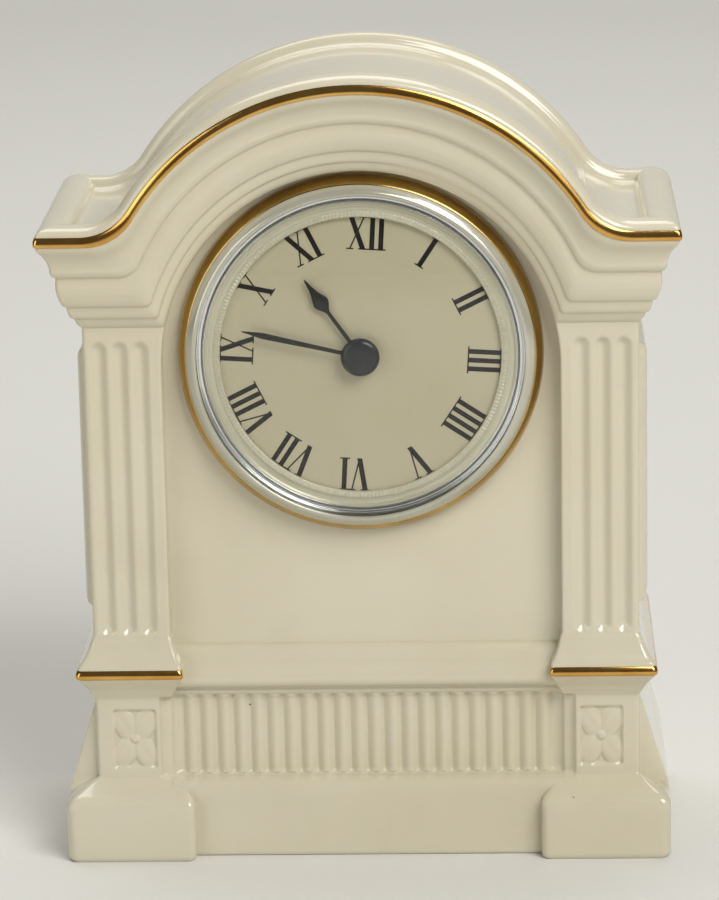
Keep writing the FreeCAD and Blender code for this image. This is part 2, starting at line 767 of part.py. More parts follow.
def make_gilding():
    """Fired gold lines on the cornice and on each base moulding."""
    half = s.gilding_half_height
    skin = s.gilding_thickness
    upper = ring_edges(front_y - skin, 0.0, half)
    lower = ring_edges(front_y - skin, half)
    ends = [
        Part.LineSegment(lower[-1].Vertexes[-1].Point, upper[-1].Vertexes[-1].Point).toShape(),
        Part.LineSegment(upper[0].Vertexes[0].Point, lower[0].Vertexes[0].Point).toShape(),
    ]
    band = face_of([*lower, ends[0], *reversed(upper), ends[1]]).extrude(Vector(0, skin, 0))
    reach = cornice_half + skin
    limit = Part.makeBox(2 * reach, skin, crown_top, Vector(-reach, front_y - skin, 0))
    line = band.common(limit)
    corner = Vector(cornice_half, front_y, cornice_line_height - half)
    side = Part.makeBox(skin, s.case_depth, 2 * half, corner)
    keep(feature("cornice_gilding", line.fuse([side, mirrored(side)])))
    outer = s.core_half_width + s.base_moulding_projection
    inner = s.pedestal_inner - s.base_moulding_projection * INNER_SHARE
    front = face_y - s.base_moulding_projection
    low = s.base_moulding_height - half
    corner = Vector(inner - skin, front - skin, low)
    strips = Part.makeBox(outer + 2 * skin - inner, skin, 2 * half, corner)
    strips = strips.fuse([
        Part.makeBox(skin, back_y - front, 2 * half, Vector(outer, front, low)),
        Part.makeBox(skin, s.base_moulding_projection / 2, 2 * half, Vector(inner - skin, front, low)),
    ])
    keep(feature("base_gilding_right", strips.removeSplitter()))
    keep(feature("base_gilding_left", mirrored(strips).removeSplitter()))


def make_front_of_insert():
    """Bezel, lens, reflector ring and dial."""
    sheet_wall = s.bezel_sheet
    outer = s.bezel_radius
    lip = s.bezel_lip_radius
    front = s.bezel_front
    points = [(outer - sheet_wall * inwards, front * high) for inwards, high in BEZEL_FLANK_SHARES]
    points.extend((lip + sheet_wall * out, front * high) for out, high in BEZEL_LIP_SHARES)
    points.extend((outer - sheet_wall * inwards, front * high) for inwards, high in BEZEL_INSIDE_SHARES)
    bezel = turned("bezel", points)
    on_dial(bezel)
    keep(bezel)

    # Clear lens: a shallow dome of even thickness
    rim = s.lens_radius
    seat = s.ring_front
    crown = (rim * rim + s.lens_dome * s.lens_dome) / (2 * s.lens_dome)
    disc = cylinder("lens_disc", rim, s.lens_thickness + s.lens_dome)
    on_dial(disc, w=seat)
    outer_dome = doc.addObject("Part::Sphere", "lens_outer_dome")
    bind(outer_dome, Radius=crown + s.lens_thickness)
    on_dial(outer_dome, w=seat + s.lens_dome - crown)
    inner_dome = doc.addObject("Part::Sphere", "lens_inner_dome")
    bind(inner_dome, Radius=crown)
    on_dial(inner_dome, w=seat + s.lens_dome - crown)
    lens = cut("lens", common("lens_blank", disc, outer_dome), inner_dome)
    keep(lens)

    # Bright ring between lens and dial, stepped, with a straight inner wall
    inner = ring_inner_radius
    wall = s.ring_wall
    step = s.ring_step
    low = s.dial_front
    floor = seat - step * RING_GROOVE_DEPTH_SHARE
    from_rim, from_bore, from_edge = RING_GROOVE_SHARES
    ring = turned("reflector_ring", [
        (inner, low),
        (inner + wall, low),
        (inner + wall, seat - wall - step),
        (rim - wall, seat - wall - step),
        (rim - wall, seat - wall),
        (rim, seat - wall),
        (rim, seat),
        (rim - wall, seat),
        (rim - wall * from_rim, floor),
        (inner + wall * from_bore, floor),
        (inner + wall * from_edge, seat - step),
        (inner, seat - step),
    ])
    on_dial(ring)
    keep(ring)

    dial_back = s.dial_front - s.dial_thickness
    dial = turned("dial", [
        (s.dial_hole_radius, dial_back),
        (s.dial_radius, dial_back),
        (s.dial_radius, s.dial_front),
        (s.dial_hole_radius, s.dial_front),
    ])
    on_dial(dial)
    keep(dial)


battery_x = s.plate_radius * BATTERY_SHARES[0]
battery_y = s.plate_radius * BATTERY_SHARES[1]


def polar(origin, distance, degrees):
    """A point at a distance and a direction from another."""
    turn = math.radians(degrees)
    return (origin[0] + distance * math.cos(turn), origin[1] + distance * math.sin(turn))


def spacing(module, first, second):
    """Distance between two meshing axes."""
    return module * ((first + second) / 2)


centre_at = (Measure(0.0, "0"), Measure(0.0, "0"))
reach = spacing(s.centre_module, CENTRE_TEETH, PINION_TEETH)
third_at = polar(centre_at, reach, THIRD_DIRECTION)
reach = spacing(s.third_module, THIRD_TEETH, PINION_TEETH)
second_at = polar(third_at, reach, SECOND_DIRECTION)
reach = spacing(s.second_module, SECOND_TEETH, PINION_TEETH)
intermediate_at = polar(second_at, reach, INTERMEDIATE_DIRECTION)
reach = spacing(s.rotor_module, INTERMEDIATE_TEETH, PINION_TEETH)
rotor_at = polar(intermediate_at, reach, ROTOR_DIRECTION)
minute_at = polar(centre_at, spacing(s.motion_module, CANNON_TEETH, MINUTE_TEETH), MOTION_DIRECTION)
knob_at = polar(minute_at, spacing(s.motion_module, KNOB_TEETH, MINUTE_TEETH), MOTION_DIRECTION)
pillars_at = [(s.plate_radius * x, s.plate_radius * y) for x, y in PILLAR_SHARES]


def make_housing():
    """Moulded housing behind the dial, with a flange in front and a battery well behind."""
    outer = s.housing_radius
    inner = housing_inner
    seat = s.dial_front - s.dial_thickness
    shell = turned("housing_shell", [
        (0.0, -s.housing_back),
        (outer, -s.housing_back),
        (outer, 0.0),
        (s.flange_radius, 0.0),
        (s.flange_radius, s.flange_thickness),
        (outer, s.flange_thickness),
        (outer, seat),
        (inner, seat),
        (inner, -bridge_back),
        (inner - s.bridge_ledge, -bridge_back),
        (inner - s.bridge_ledge, -back_inner),
        (0.0, -back_inner),
    ])
    on_dial(shell)
    well_outer = s.battery_radius + s.well_clearance + s.well_wall
    well_length = s.battery_thickness
    well = cylinder("housing_well", well_outer, well_length)
    on_dial(well, battery_x, battery_y, -back_inner)
    bore = cylinder("housing_well_bore", s.battery_radius + s.well_clearance, s.housing_back + s.overrun)
    on_dial(bore, battery_x, battery_y, -s.housing_back - s.overrun)
    mouth = cylinder("housing_cover_seat", s.cover_radius + s.seat_clearance, s.back_thickness + s.overrun)
    on_dial(mouth, battery_x, battery_y, -s.housing_back - s.overrun)
    width = s.contact_width
    height = well_length - (back_inner - s.bridge_front)
    window = box("housing_contact_window", s.well_wall + s.overrun + s.well_clearance, 3 * width, height)
    on_dial(window, battery_x + s.battery_radius, battery_y - width, -s.bridge_front)
    length = s.back_thickness + 2 * s.overrun
    shaft = cylinder("housing_knob_hole", s.knob_shaft_radius + s.running_clearance, length)
    on_dial(shaft, knob_at[0], knob_at[1], -s.housing_back - s.overrun)
    body = fuse("housing_body", shell, well)
    keep(cut("insert_housing", body, bore, mouth, window, shaft))

    # Ribbed rubber ring that grips the case
    sleeve = outer + s.seat_clearance
    base = sleeve + s.gasket_sleeve
    tip = s.front_hole_radius - s.seat_clearance
    rib = s.gasket_ribs_width
    points = [(sleeve, -s.gasket_length), (base, -s.gasket_length)]
    pitch = s.gasket_length / (GASKET_RIBS + 1)
    for index in range(GASKET_RIBS, 0, -1):
        points.append((base, -pitch * index - rib))
        points.append((tip, -pitch * index - rib / 2))
        points.append((tip, -pitch * index))
        points.append((base, -pitch * index + rib / 2))
    points.extend([(base, 0.0), (sleeve, 0.0)])
    gasket = turned("gasket", points)
    on_dial(gasket)
    keep(gasket)


def tooth_outline(teeth, module, phase):
    """Corners of a toothed wheel round its own axis, with one tooth at the phase angle."""
    step = 2 * math.pi / teeth
    tip = module * (teeth / 2 + TIP_SHARE)
    root = module * (teeth / 2 - ROOT_SHARE)
    corners = []
    for index in range(teeth):
        middle = phase + index * step
        for radius, share in (
            (root, -ROOT_WIDTH_SHARE),
            (tip, -TIP_WIDTH_SHARE),
            (tip, TIP_WIDTH_SHARE),
            (root, ROOT_WIDTH_SHARE),
        ):
            angle = middle + share * step
            corners.append(Vector(radius * math.cos(angle), radius * math.sin(angle), 0))
    return corners


def gear(teeth, module, low, thickness, phase=0.0):
    """A toothed wheel between two levels."""
    flat = polygon(tooth_outline(teeth, module, phase))
    flat.translate(Vector(0, 0, low))
    return flat.extrude(Vector(0, 0, thickness))


def round_bar(radius, low, high):
    """A plain round shaft between two levels."""
    return Part.makeCylinder(radius, high - low, Vector(0, 0, low))


def mesh_phase(teeth, other_teeth, other_phase, direction):
    """Phase of a wheel that meshes with another, which lies behind it along the direction."""
    turn = math.radians(direction)
    return turn + math.pi + 2 * math.pi / teeth * (0.5 - other_teeth * (other_phase - turn) / (2 * math.pi))


def seat_at(place):
    """A seat on the dial's frame for a wheel at a place."""
    return lambda obj: on_dial(obj, place[0], place[1])


pivot_front = -plate_back / 2
pivot_back = -s.bridge_front - s.bridge_thickness / 2


def make_train():
    """Wheels from the rotor to the centre, each on its own arbor."""
    arbor = round_bar(s.arbor_radius, pivot_back, pivot_front)
    wheel = s.wheel_thickness
    pinion = s.pinion_thickness
    rise = (pinion - wheel) / 2

    centre = gear(CENTRE_TEETH, s.centre_module, -s.centre_wheel_level, wheel)
    hub = round_bar(s.pipe_radius, -s.centre_wheel_level - wheel, -s.centre_wheel_level + wheel)
    bore = round_bar(s.cannon_radius + s.running_clearance / 2, -s.housing_back, s.overrun)
    keep(feature("centre_wheel", centre.fuse(hub).cut(bore), seat_at(centre_at)))

    phase = mesh_phase(PINION_TEETH, CENTRE_TEETH, 0.0, THIRD_DIRECTION)
    low = gear(PINION_TEETH, s.centre_module, -s.centre_wheel_level - rise, pinion, phase)
    high = gear(THIRD_TEETH, s.third_module, -s.third_wheel_level, wheel)
    keep(feature("third_wheel", arbor.fuse([low, high]), seat_at(third_at)))

    phase = mesh_phase(PINION_TEETH, THIRD_TEETH, 0.0, SECOND_DIRECTION)
    low = gear(PINION_TEETH, s.third_module, -s.third_wheel_level - rise, pinion, phase)
    high = gear(SECOND_TEETH, s.second_module, -s.second_wheel_level, wheel)
    keep(feature("second_wheel", arbor.fuse([low, high]), seat_at(second_at)))

    phase = mesh_phase(PINION_TEETH, SECOND_TEETH, 0.0, INTERMEDIATE_DIRECTION)
    low = gear(PINION_TEETH, s.second_module, -s.second_wheel_level - rise, pinion, phase)
    high = gear(INTERMEDIATE_TEETH, s.rotor_module, -s.intermediate_wheel_level, wheel)
    keep(feature("intermediate_wheel", arbor.fuse([low, high]), seat_at(intermediate_at)))

    phase = mesh_phase(PINION_TEETH, INTERMEDIATE_TEETH, 0.0, ROTOR_DIRECTION)
    low = gear(PINION_TEETH, s.rotor_module, -s.intermediate_wheel_level - rise, pinion, phase)
    keep(feature("rotor_pinion", arbor.fuse(low), seat_at(rotor_at)))
    magnet_low = -s.stator_level - s.lamination / 2 - s.magnet_thickness / 2
    magnet = round_bar(s.magnet_radius, magnet_low, magnet_low + s.magnet_thickness)
    magnet = magnet.cut(round_bar(s.arbor_radius, magnet_low, magnet_low + s.magnet_thickness))
    keep(feature("rotor_magnet", magnet, seat_at(rotor_at)))


def make_motion_work():
    """Cannon pinion, minute wheel, hour wheel and setting knob."""
    wheel = s.wheel_thickness
    tall = s.pinion_thickness
    level = s.motion_wheel_level
    shaft = round_bar(s.cannon_radius, pivot_back, s.minute_hand_level + s.hand_thickness)
    minute_phase = 0.0
    back = MOTION_DIRECTION + HALF_TURN
    cannon_phase = mesh_phase(CANNON_TEETH, MINUTE_TEETH, minute_phase, back)
    deep = wheel + s.running_clearance
    cannon = gear(CANNON_TEETH, s.motion_module, level - s.running_clearance, deep, cannon_phase)
    keep(feature("cannon_pinion", shaft.fuse(cannon), seat_at(centre_at)))

    stud = s.arbor_radius + s.running_clearance
    pinion_low = level + wheel
    pinion_phase = 0.0
    lower = gear(MINUTE_TEETH, s.motion_module, level, wheel, minute_phase)
    upper = gear(MINUTE_PINION_TEETH, s.motion_module, pinion_low, tall - level, pinion_phase)
    pair = lower.fuse(upper).cut(round_bar(stud, 0, s.dial_front))
    keep(feature("minute_wheel", pair, seat_at(minute_at)))

    hour_phase = mesh_phase(HOUR_TEETH, MINUTE_PINION_TEETH, pinion_phase, back)
    hour = gear(HOUR_TEETH, s.motion_module, s.hour_wheel_level, wheel - s.running_clearance, hour_phase)
    pipe = round_bar(s.pipe_radius, s.hour_wheel_level, s.hour_hand_level + s.hand_thickness)
    bore = round_bar(s.cannon_radius + s.running_clearance, 0, s.minute_hand_level)
    keep(feature("hour_wheel", hour.fuse(pipe).cut(bore), seat_at(centre_at)))

    knob_phase = mesh_phase(KNOB_TEETH, MINUTE_TEETH, minute_phase, MOTION_DIRECTION)
    small = gear(KNOB_TEETH, s.motion_module, level, wheel, knob_phase)
    knob_front = -s.housing_back - s.knob_gap
    stem = round_bar(s.knob_shaft_radius, knob_front, level)
    grip = gear(KNURLS, 2 * s.knob_radius / KNURLS, knob_front - s.knob_thickness, s.knob_thickness)
    disc = round_bar(s.knob_radius, knob_front - s.knob_thickness, knob_front)
    keep(feature("setting_knob", stem.fuse([small, grip.common(disc)]), seat_at(knob_at)))


def hand_blade(length, outline):
    """A hand pointing up from its centre, from half widths along its length."""
    right = [Vector(half, along, 0) for along, half in outline]
    left = [Vector(-half, along, 0) for along, half in reversed(outline)]
    return polygon([*right, Vector(0, length, 0), *left]).extrude(Vector(0, 0, s.hand_thickness))


def make_hands():
    """Hour hand, minute hand and the domed cap over their bosses."""
    place = s.hour_bulb_place
    bulb = s.hour_bulb_radius
    half_widths = [(place + bulb * along, bulb * half) for along, half in HOUR_BLADE_SHARES]
    stem = hand_blade(s.hour_hand_length, [(0.0, half_widths[0][1]), *half_widths])
    round_part = Part.makeCylinder(bulb, s.hand_thickness, Vector(0, place, 0))
    boss = Part.makeCylinder(s.cap_radius * HOUR_BOSS_SHARE, s.hand_thickness)
    hole = Part.makeCylinder(s.pipe_radius, s.hand_thickness)
    hour = stem.fuse([round_part, boss]).cut(hole)
    hour_hand = keep(feature("hour_hand", hour))
    on_dial_turned(hour_hand, s.hour_hand_level, HOUR_HAND_ANGLE)

    length = s.minute_hand_length
    half_widths = [(length * along, s.hand_width * half) for along, half in MINUTE_BLADE_SHARES]
    blade = hand_blade(length, half_widths)
    boss = Part.makeCylinder(s.cap_radius * MINUTE_BOSS_SHARE, s.hand_thickness)
    hole = Part.makeCylinder(s.cannon_radius, s.hand_thickness)
    minute = blade.fuse(boss).cut(hole)
    minute_hand = keep(feature("minute_hand", minute))
    on_dial_turned(minute_hand, s.minute_hand_level, MINUTE_HAND_ANGLE)

    radius = s.cap_radius
    dome = s.cap_dome
    ball = (radius * radius + dome * dome) / (2 * dome)
    seat = s.minute_hand_level + s.hand_thickness
    disc = cylinder("cap_disc", radius, s.cap_edge + dome)
    on_dial(disc, w=seat)
    sphere = doc.addObject("Part::Sphere", "cap_dome")
    bind(sphere, Radius=ball)
    on_dial(sphere, w=seat + s.cap_edge + dome - ball)
    keep(common("hand_cap", disc, sphere))


def make_plates():
    """Front plate with its pillars and studs, rear bridge, and the screws that join them."""
    clearance = s.running_clearance
    plate = cylinder("plate_disc", s.plate_radius, plate_back)
    on_dial(plate, w=-plate_back)
    solids = [plate]
    holes = []
    bridge_holes = []
    for number, (x, y) in enumerate(pillars_at, start=1):
        pillar = cylinder(f"pillar_{number}", s.pillar_radius, s.bridge_front - plate_back)
        on_dial(pillar, x, y, -s.bridge_front)
        solids.append(pillar)
        thread = cylinder(f"pillar_thread_{number}", s.screw_radius, s.screw_depth)
        on_dial(thread, x, y, -s.bridge_front)
        holes.append(thread)
        bore = cylinder(f"bridge_screw_hole_{number}", s.screw_radius, s.bridge_thickness)
        on_dial(bore, x, y, -bridge_back)
        bridge_holes.append(bore)
    stud = cylinder("minute_stud", s.arbor_radius, s.hour_wheel_level + s.wheel_thickness)
    on_dial(stud, minute_at[0], minute_at[1])
    solids.append(stud)
    post_length = s.stator_level - s.lamination - plate_back
    for number, x in enumerate(stator_ends(), start=1):
        post = cylinder(f"stator_post_{number}", s.pillar_radius / 2, post_length)
        on_dial(post, x, stator_top(), s.lamination - s.stator_level)
        solids.append(post)
    ends = {
        "centre": (centre_at, s.cannon_radius), "third": (third_at, s.arbor_radius),
        "second": (second_at, s.arbor_radius), "intermediate": (intermediate_at, s.arbor_radius),
        "rotor": (rotor_at, s.arbor_radius), "knob": (knob_at, s.knob_shaft_radius),
    }
    for name, (place, radius) in ends.items():
        front = cylinder(f"{name}_front_hole", radius + clearance, plate_back)
        on_dial(front, place[0], place[1], -plate_back)
        holes.append(front)
        rear = cylinder(f"{name}_rear_hole", radius + clearance, s.bridge_thickness)
        on_dial(rear, place[0], place[1], -bridge_back)
        bridge_holes.append(rear)
    keep(cut("movement_plate", fuse("movement_plate_body", *solids), *holes))

    bridge = cylinder("bridge_disc", s.plate_radius, s.bridge_thickness)
    on_dial(bridge, w=-bridge_back)
    well_outer = s.battery_radius + s.well_clearance + s.well_wall
    well = cylinder("bridge_well_hole", well_outer + clearance, s.bridge_thickness)
    on_dial(well, battery_x, battery_y, -bridge_back)
    keep(cut("movement_bridge", bridge, well, *bridge_holes))

    screws = []
    for number, (x, y) in enumerate(pillars_at, start=1):
        shank = cylinder(f"screw_shank_{number}", s.screw_radius, s.screw_depth + s.bridge_thickness)
        on_dial(shank, x, y, -bridge_back)
        head = cylinder(f"screw_head_{number}", s.screw_head_radius, s.screw_head_height)
        on_dial(head, x, y, -bridge_back - s.screw_head_height)
        screws.append(fuse(f"screw_{number}", shank, head))
    screw_group = doc.addObject("Part::Compound", "bridge_screws")
    screw_group.Links = screws
    keep(screw_group)


def stator_ends():
    """Where the coil core rests on the stator, along x."""
    half = s.coil_length / 2 + s.coil_radius + s.arbor_radius
    middle = rotor_at[0] + s.magnet_radius + s.pillar_radius
    return (middle - half, middle + half)


def stator_top():
    """Height of the coil's axis above the dial centre."""
    return rotor_at[1] + s.magnet_radius + s.stator_gap + s.lamination + 2 * s.coil_radius


def make_motor():
    """Stator, coil core and coil winding of the stepping motor."""
    left, right = stator_ends()
    tab = s.pillar_radius
    low = rotor_at[1] - s.magnet_radius - s.stator_gap - s.lamination
    shoulder = rotor_at[1] + s.magnet_radius + s.stator_gap + s.lamination
    top = stator_top() + tab
    corners = [
        (left - tab, low), (right + tab, low), (right + tab, top), (right - tab, top),
        (right - tab, shoulder), (left + tab, shoulder), (left + tab, top), (left - tab, top),
    ]
    back = -s.stator_level - s.lamination
    plate = plan_polygon(corners, back, -s.stator_level)
    eye = Vector(rotor_at[0], rotor_at[1], back)
    hole = Part.makeCylinder(s.magnet_radius + s.stator_gap, s.lamination, eye)
    keep(feature("stator", plate.cut(hole), on_dial))

    half = tab * TIP_SHARE
    core_back = -s.stator_level
    core_front = core_back + s.lamination
    ends = [(left - tab, stator_top() - half), (right + tab, stator_top() - half)]
    ends.extend([(right + tab, stator_top() + half), (left - tab, stator_top() + half)])
    core = plan_polygon(ends, core_back, core_front)
    keep(feature("coil_core", core, on_dial))
    middle = (left + right) / 2
    start = Vector(middle - s.coil_length / 2, stator_top(), core_back + s.lamination / 2)
    winding = Part.makeCylinder(s.coil_radius, s.coil_length, start, Vector(1, 0, 0))
    keep(feature("coil_winding", winding.cut(core), on_dial))


board_x = s.knob_radius * 2 + s.contact_width
board_y = -s.board_height / 2


def make_electrics():
    """Circuit board, quartz crystal, battery, its contacts and its cover."""
    board_front = -s.bridge_front + s.board_thickness
    board = box("circuit_board", s.board_width, s.board_height, s.board_thickness)
    on_dial(board, board_x, board_y, -s.bridge_front)
    keep(board)
    crystal = cylinder("quartz_crystal", s.crystal_radius, s.crystal_length)
    y = panel_y - (board_front + s.crystal_radius)
    set_place(crystal, board_x + s.board_width / 2, y, s.dial_height - s.crystal_length / 2)
    keep(crystal)

    battery_back = -back_inner + s.contact_thickness
    cell = cylinder("battery", s.battery_radius, s.battery_thickness)
    on_dial(cell, battery_x, battery_y, battery_back)
    keep(cell)

    # Negative strip under the cell, bent back to the board
    strip = s.contact_thickness
    width = s.contact_width
    level = battery_back + s.battery_thickness + s.seat_clearance
    run_y = battery_y - s.battery_radius
    end_x = board_x + 3 * width / 2
    left_x = battery_x - width / 2
    right_x = battery_x + width / 2
    flat = plan_polygon([
        (left_x, battery_y + width / 2), (left_x, run_y),
        (end_x, run_y), (end_x, board_y + width), (end_x - width, board_y + width),
        (end_x - width, run_y + width), (right_x, run_y + width), (right_x, battery_y + width / 2),
    ], level, level + strip)
    foot = Vector(end_x - width, board_y + width - strip, board_front)
    leg = Part.makeBox(width, strip, level - board_front, foot)
    keep(feature("negative_contact", flat.fuse(leg), on_dial))

    # Positive strip beside the cell, run along the bridge to the board
    side_x = battery_x + s.battery_radius + s.seat_clearance
    run_y = battery_y + width
    low = Vector(side_x, battery_y - width / 2, -s.bridge_front)
    upright = Part.makeBox(strip, 2 * width, s.battery_thickness / 2, low)
    run = Part.makeBox(board_x - side_x, width / 2, strip, Vector(side_x, run_y, -s.bridge_front))
    climb_foot = Vector(board_x - width / 2, run_y, -s.bridge_front)
    climb = Part.makeBox(width / 2, board_y - run_y + width, strip, climb_foot)
    keep(feature("positive_contact", upright.fuse([run, climb]).removeSplitter(), on_dial))

    cover = cylinder("cover_disc", s.cover_radius, s.back_thickness)
    on_dial(cover, battery_x, battery_y, -s.housing_back)
    slot = box("cover_coin_slot", s.battery_radius * 2, s.cover_slot, s.back_thickness / 2)
    on_dial(slot, battery_x - s.battery_radius, battery_y - s.cover_slot / 2, -s.housing_back)
    keep(cut("battery_cover", cover, slot))


make_case()
make_gilding()
make_front_of_insert()
make_housing()
make_plates()
make_train()
make_motion_work()
make_hands()
make_motor()
make_electrics()
doc.recompute()

# Nothing is written unless every object is sound
for item in doc.Objects:
    if "Invalid" in item.State or "Error" in item.State:
        raise RuntimeError(f"{item.Label} did not build: {item.State}")
for item in nodes:
    if item.Shape.isNull() or not item.Shape.isValid():
        raise RuntimeError(f"{item.Label} has no sound shape")
    print(item.Label, "solids", len(item.Shape.Solids), "volume", round(item.Shape.Volume, 1))

os.makedirs("parts", exist_ok=True)
for item in nodes:
    item.Shape.exportStep(f"parts/{item.Label}.step")
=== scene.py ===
"""Dressed view of an arched porcelain shelf clock with a round quartz insert."""

import logging
import math
from dataclasses import dataclass, field
from enum import Enum
from typing import Any, Callable

import bmesh
import bpy
import numpy as np
from mathutils import Matrix, Vector


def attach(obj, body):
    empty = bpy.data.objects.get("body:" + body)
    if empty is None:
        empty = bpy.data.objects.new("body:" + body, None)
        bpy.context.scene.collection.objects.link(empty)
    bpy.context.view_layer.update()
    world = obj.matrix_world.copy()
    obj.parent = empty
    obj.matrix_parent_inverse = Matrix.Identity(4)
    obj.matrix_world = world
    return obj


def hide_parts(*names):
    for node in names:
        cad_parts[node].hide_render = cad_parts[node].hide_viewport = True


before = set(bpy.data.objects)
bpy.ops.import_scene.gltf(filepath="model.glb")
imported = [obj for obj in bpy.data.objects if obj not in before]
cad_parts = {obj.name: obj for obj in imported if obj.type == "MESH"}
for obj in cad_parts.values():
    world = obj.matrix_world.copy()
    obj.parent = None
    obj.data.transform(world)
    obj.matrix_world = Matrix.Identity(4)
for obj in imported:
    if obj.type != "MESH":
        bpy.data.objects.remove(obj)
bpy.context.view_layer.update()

LOG = logging.getLogger("clock")

Array = np.ndarray
Triple = tuple[float, float, float]
Points = tuple[tuple[float, float], ...]

MILLIMETRE = 0.001
FULL_TURN = 2 * math.pi
EVEN = (1.0, 1.0, 1.0)


# Shader building


def arithmetic(operation: str, reflected: bool = False) -> Callable[["Value", Any], "Value"]:
    """Make an operator that adds one Math node.

    Args:
        operation: Math node operation.
        reflected: Whether the other operand comes first.

    Returns:
        The method.
    """

    def method(self: "Value", other: Any) -> "Value":
        """Add the node."""
        pair = (other, self) if reflected else (self, other)
        return self.tree.value("ShaderNodeMath", {"operation": operation}, dict(enumerate(pair)))

    return method


@dataclass(eq=False)
class Value:
    """A shader socket whose arithmetic adds Math nodes."""

    tree: "ShaderTree"
    socket: bpy.types.NodeSocket

    __add__, __radd__ = arithmetic("ADD"), arithmetic("ADD", True)
    __sub__, __rsub__ = arithmetic("SUBTRACT"), arithmetic("SUBTRACT", True)
    __mul__, __rmul__ = arithmetic("MULTIPLY"), arithmetic("MULTIPLY", True)
    __truediv__, __pow__ = arithmetic("DIVIDE"), arithmetic("POWER")
    __lt__, larger = arithmetic("LESS_THAN"), arithmetic("MAXIMUM")

    def fade(self, low: float, high: float) -> "Value":
        """Smooth step from 0 at low to 1 at high."""
        inputs = {"Value": self, "From Min": low, "From Max": high}
        return self.tree.value("ShaderNodeMapRange", {"interpolation_type": "SMOOTHSTEP"}, inputs)


class ShaderTree:
    """A material with one Principled shader and helpers that add nodes to it."""

    def __init__(self, name: str) -> None:
        """Make the material.

        Args:
            name: Name of the material.
        """
        self.material = bpy.data.materials.new(name)
        self.material.use_nodes = True
        self.nodes = self.material.node_tree.nodes
        self.links = self.material.node_tree.links
        self.nodes.clear()
        self.output = self.nodes.new("ShaderNodeOutputMaterial")
        self.surface = self.nodes.new("ShaderNodeBsdfPrincipled")
        self.links.new(self.surface.outputs[0], self.output.inputs["Surface"])

    def feed(self, node: bpy.types.Node, inputs: dict[Any, Any]) -> None:
        """Link or set sockets of a node.

        Args:
            node: The node.
            inputs: Socket name or number to value, socket, number or colour.
        """
        for key, given in inputs.items():
            socket = node.inputs[key]
            if isinstance(given, Value):
                self.links.new(given.socket, socket)
            elif isinstance(given, bpy.types.NodeSocket):
                self.links.new(given, socket)
            elif isinstance(given, tuple) and socket.type == "RGBA":
                socket.default_value = (*given, 1.0)
            else:
                socket.default_value = given

    def node(self, kind: str, settings: dict[str, Any], inputs: dict[Any, Any]) -> bpy.types.Node:
        """Add any node.

        Args:
            kind: Node type.
            settings: Properties, set before the sockets.
            inputs: Socket name or number to what feeds it.

        Returns:
            The new node.
        """
        made = self.nodes.new(kind)
        for name, setting in settings.items():
            setattr(made, name, setting)
        self.feed(made, inputs)
        return made

    def value(self, kind: str, settings: dict[str, Any], inputs: dict[Any, Any]) -> Value:
        """Add a node, as node does, and wrap its first output."""
        return Value(self, self.node(kind, settings, inputs).outputs[0])

    def place(self, stretch: Triple = EVEN) -> bpy.types.NodeSocket:
        """Object coordinates, stretched along the axes.

        Args:
            stretch: Scale along each axis.

        Returns:
            The vector socket.
        """
        coordinates = self.node("ShaderNodeTexCoord", {}, {}).outputs["Object"]
        if stretch == EVEN:
            return coordinates
        inputs = {"Vector": coordinates, "Scale": stretch}
        return self.node("ShaderNodeMapping", {}, inputs).outputs["Vector"]

    def noise(self, size: float, detail: float = 3.0, stretch: Triple = EVEN) -> Value:
        """Noise between 0 and 1, its patches of a size in millimetres, stretched along the axes."""
        inputs = {"Vector": self.place(stretch), "Scale": 1.0 / (size * MILLIMETRE), "Detail": detail}
        return self.value("ShaderNodeTexNoise", {}, inputs)

    def spots(self, pitch: float, radius: float, share: float) -> Value:
        """Scattered round spots, one at most in each cell of a pattern.

        Args:
            pitch: Mean spacing of the cells in millimetres.
            radius: Largest radius of a spot in millimetres.
            share: Share of the cells that have one.

        Returns:
            One inside a spot, 0 outside.
        """
        inputs = {"Vector": self.place(), "Scale": 1.0 / (pitch * MILLIMETRE)}
        cells = self.node("ShaderNodeTexVoronoi", {}, inputs)
        chosen = self.node("ShaderNodeSeparateColor", {}, {"Color": cells.outputs["Color"]})
        size = Value(self, chosen.outputs["Green"]) * (radius / pitch)
        inside = Value(self, chosen.outputs["Red"]) < share
        return inside * (1.0 - (Value(self, cells.outputs["Distance"]) / size).fade(0.6, 1.0))

    def mix(self, factor: Any, first: Any, second: Any) -> bpy.types.NodeSocket:
        """Mix two colours; the factor is the share of the second."""
        inputs = {"Factor": factor, 6: first, 7: second}
        return self.node("ShaderNodeMix", {"data_type": "RGBA"}, inputs).outputs[2]


class Wear(Enum):
    """Small marks that a finish carries."""

    NONE = "none"
    PINHOLES = "pinholes"
    SCRATCHES = "scratches"
    SPECKS = "specks"


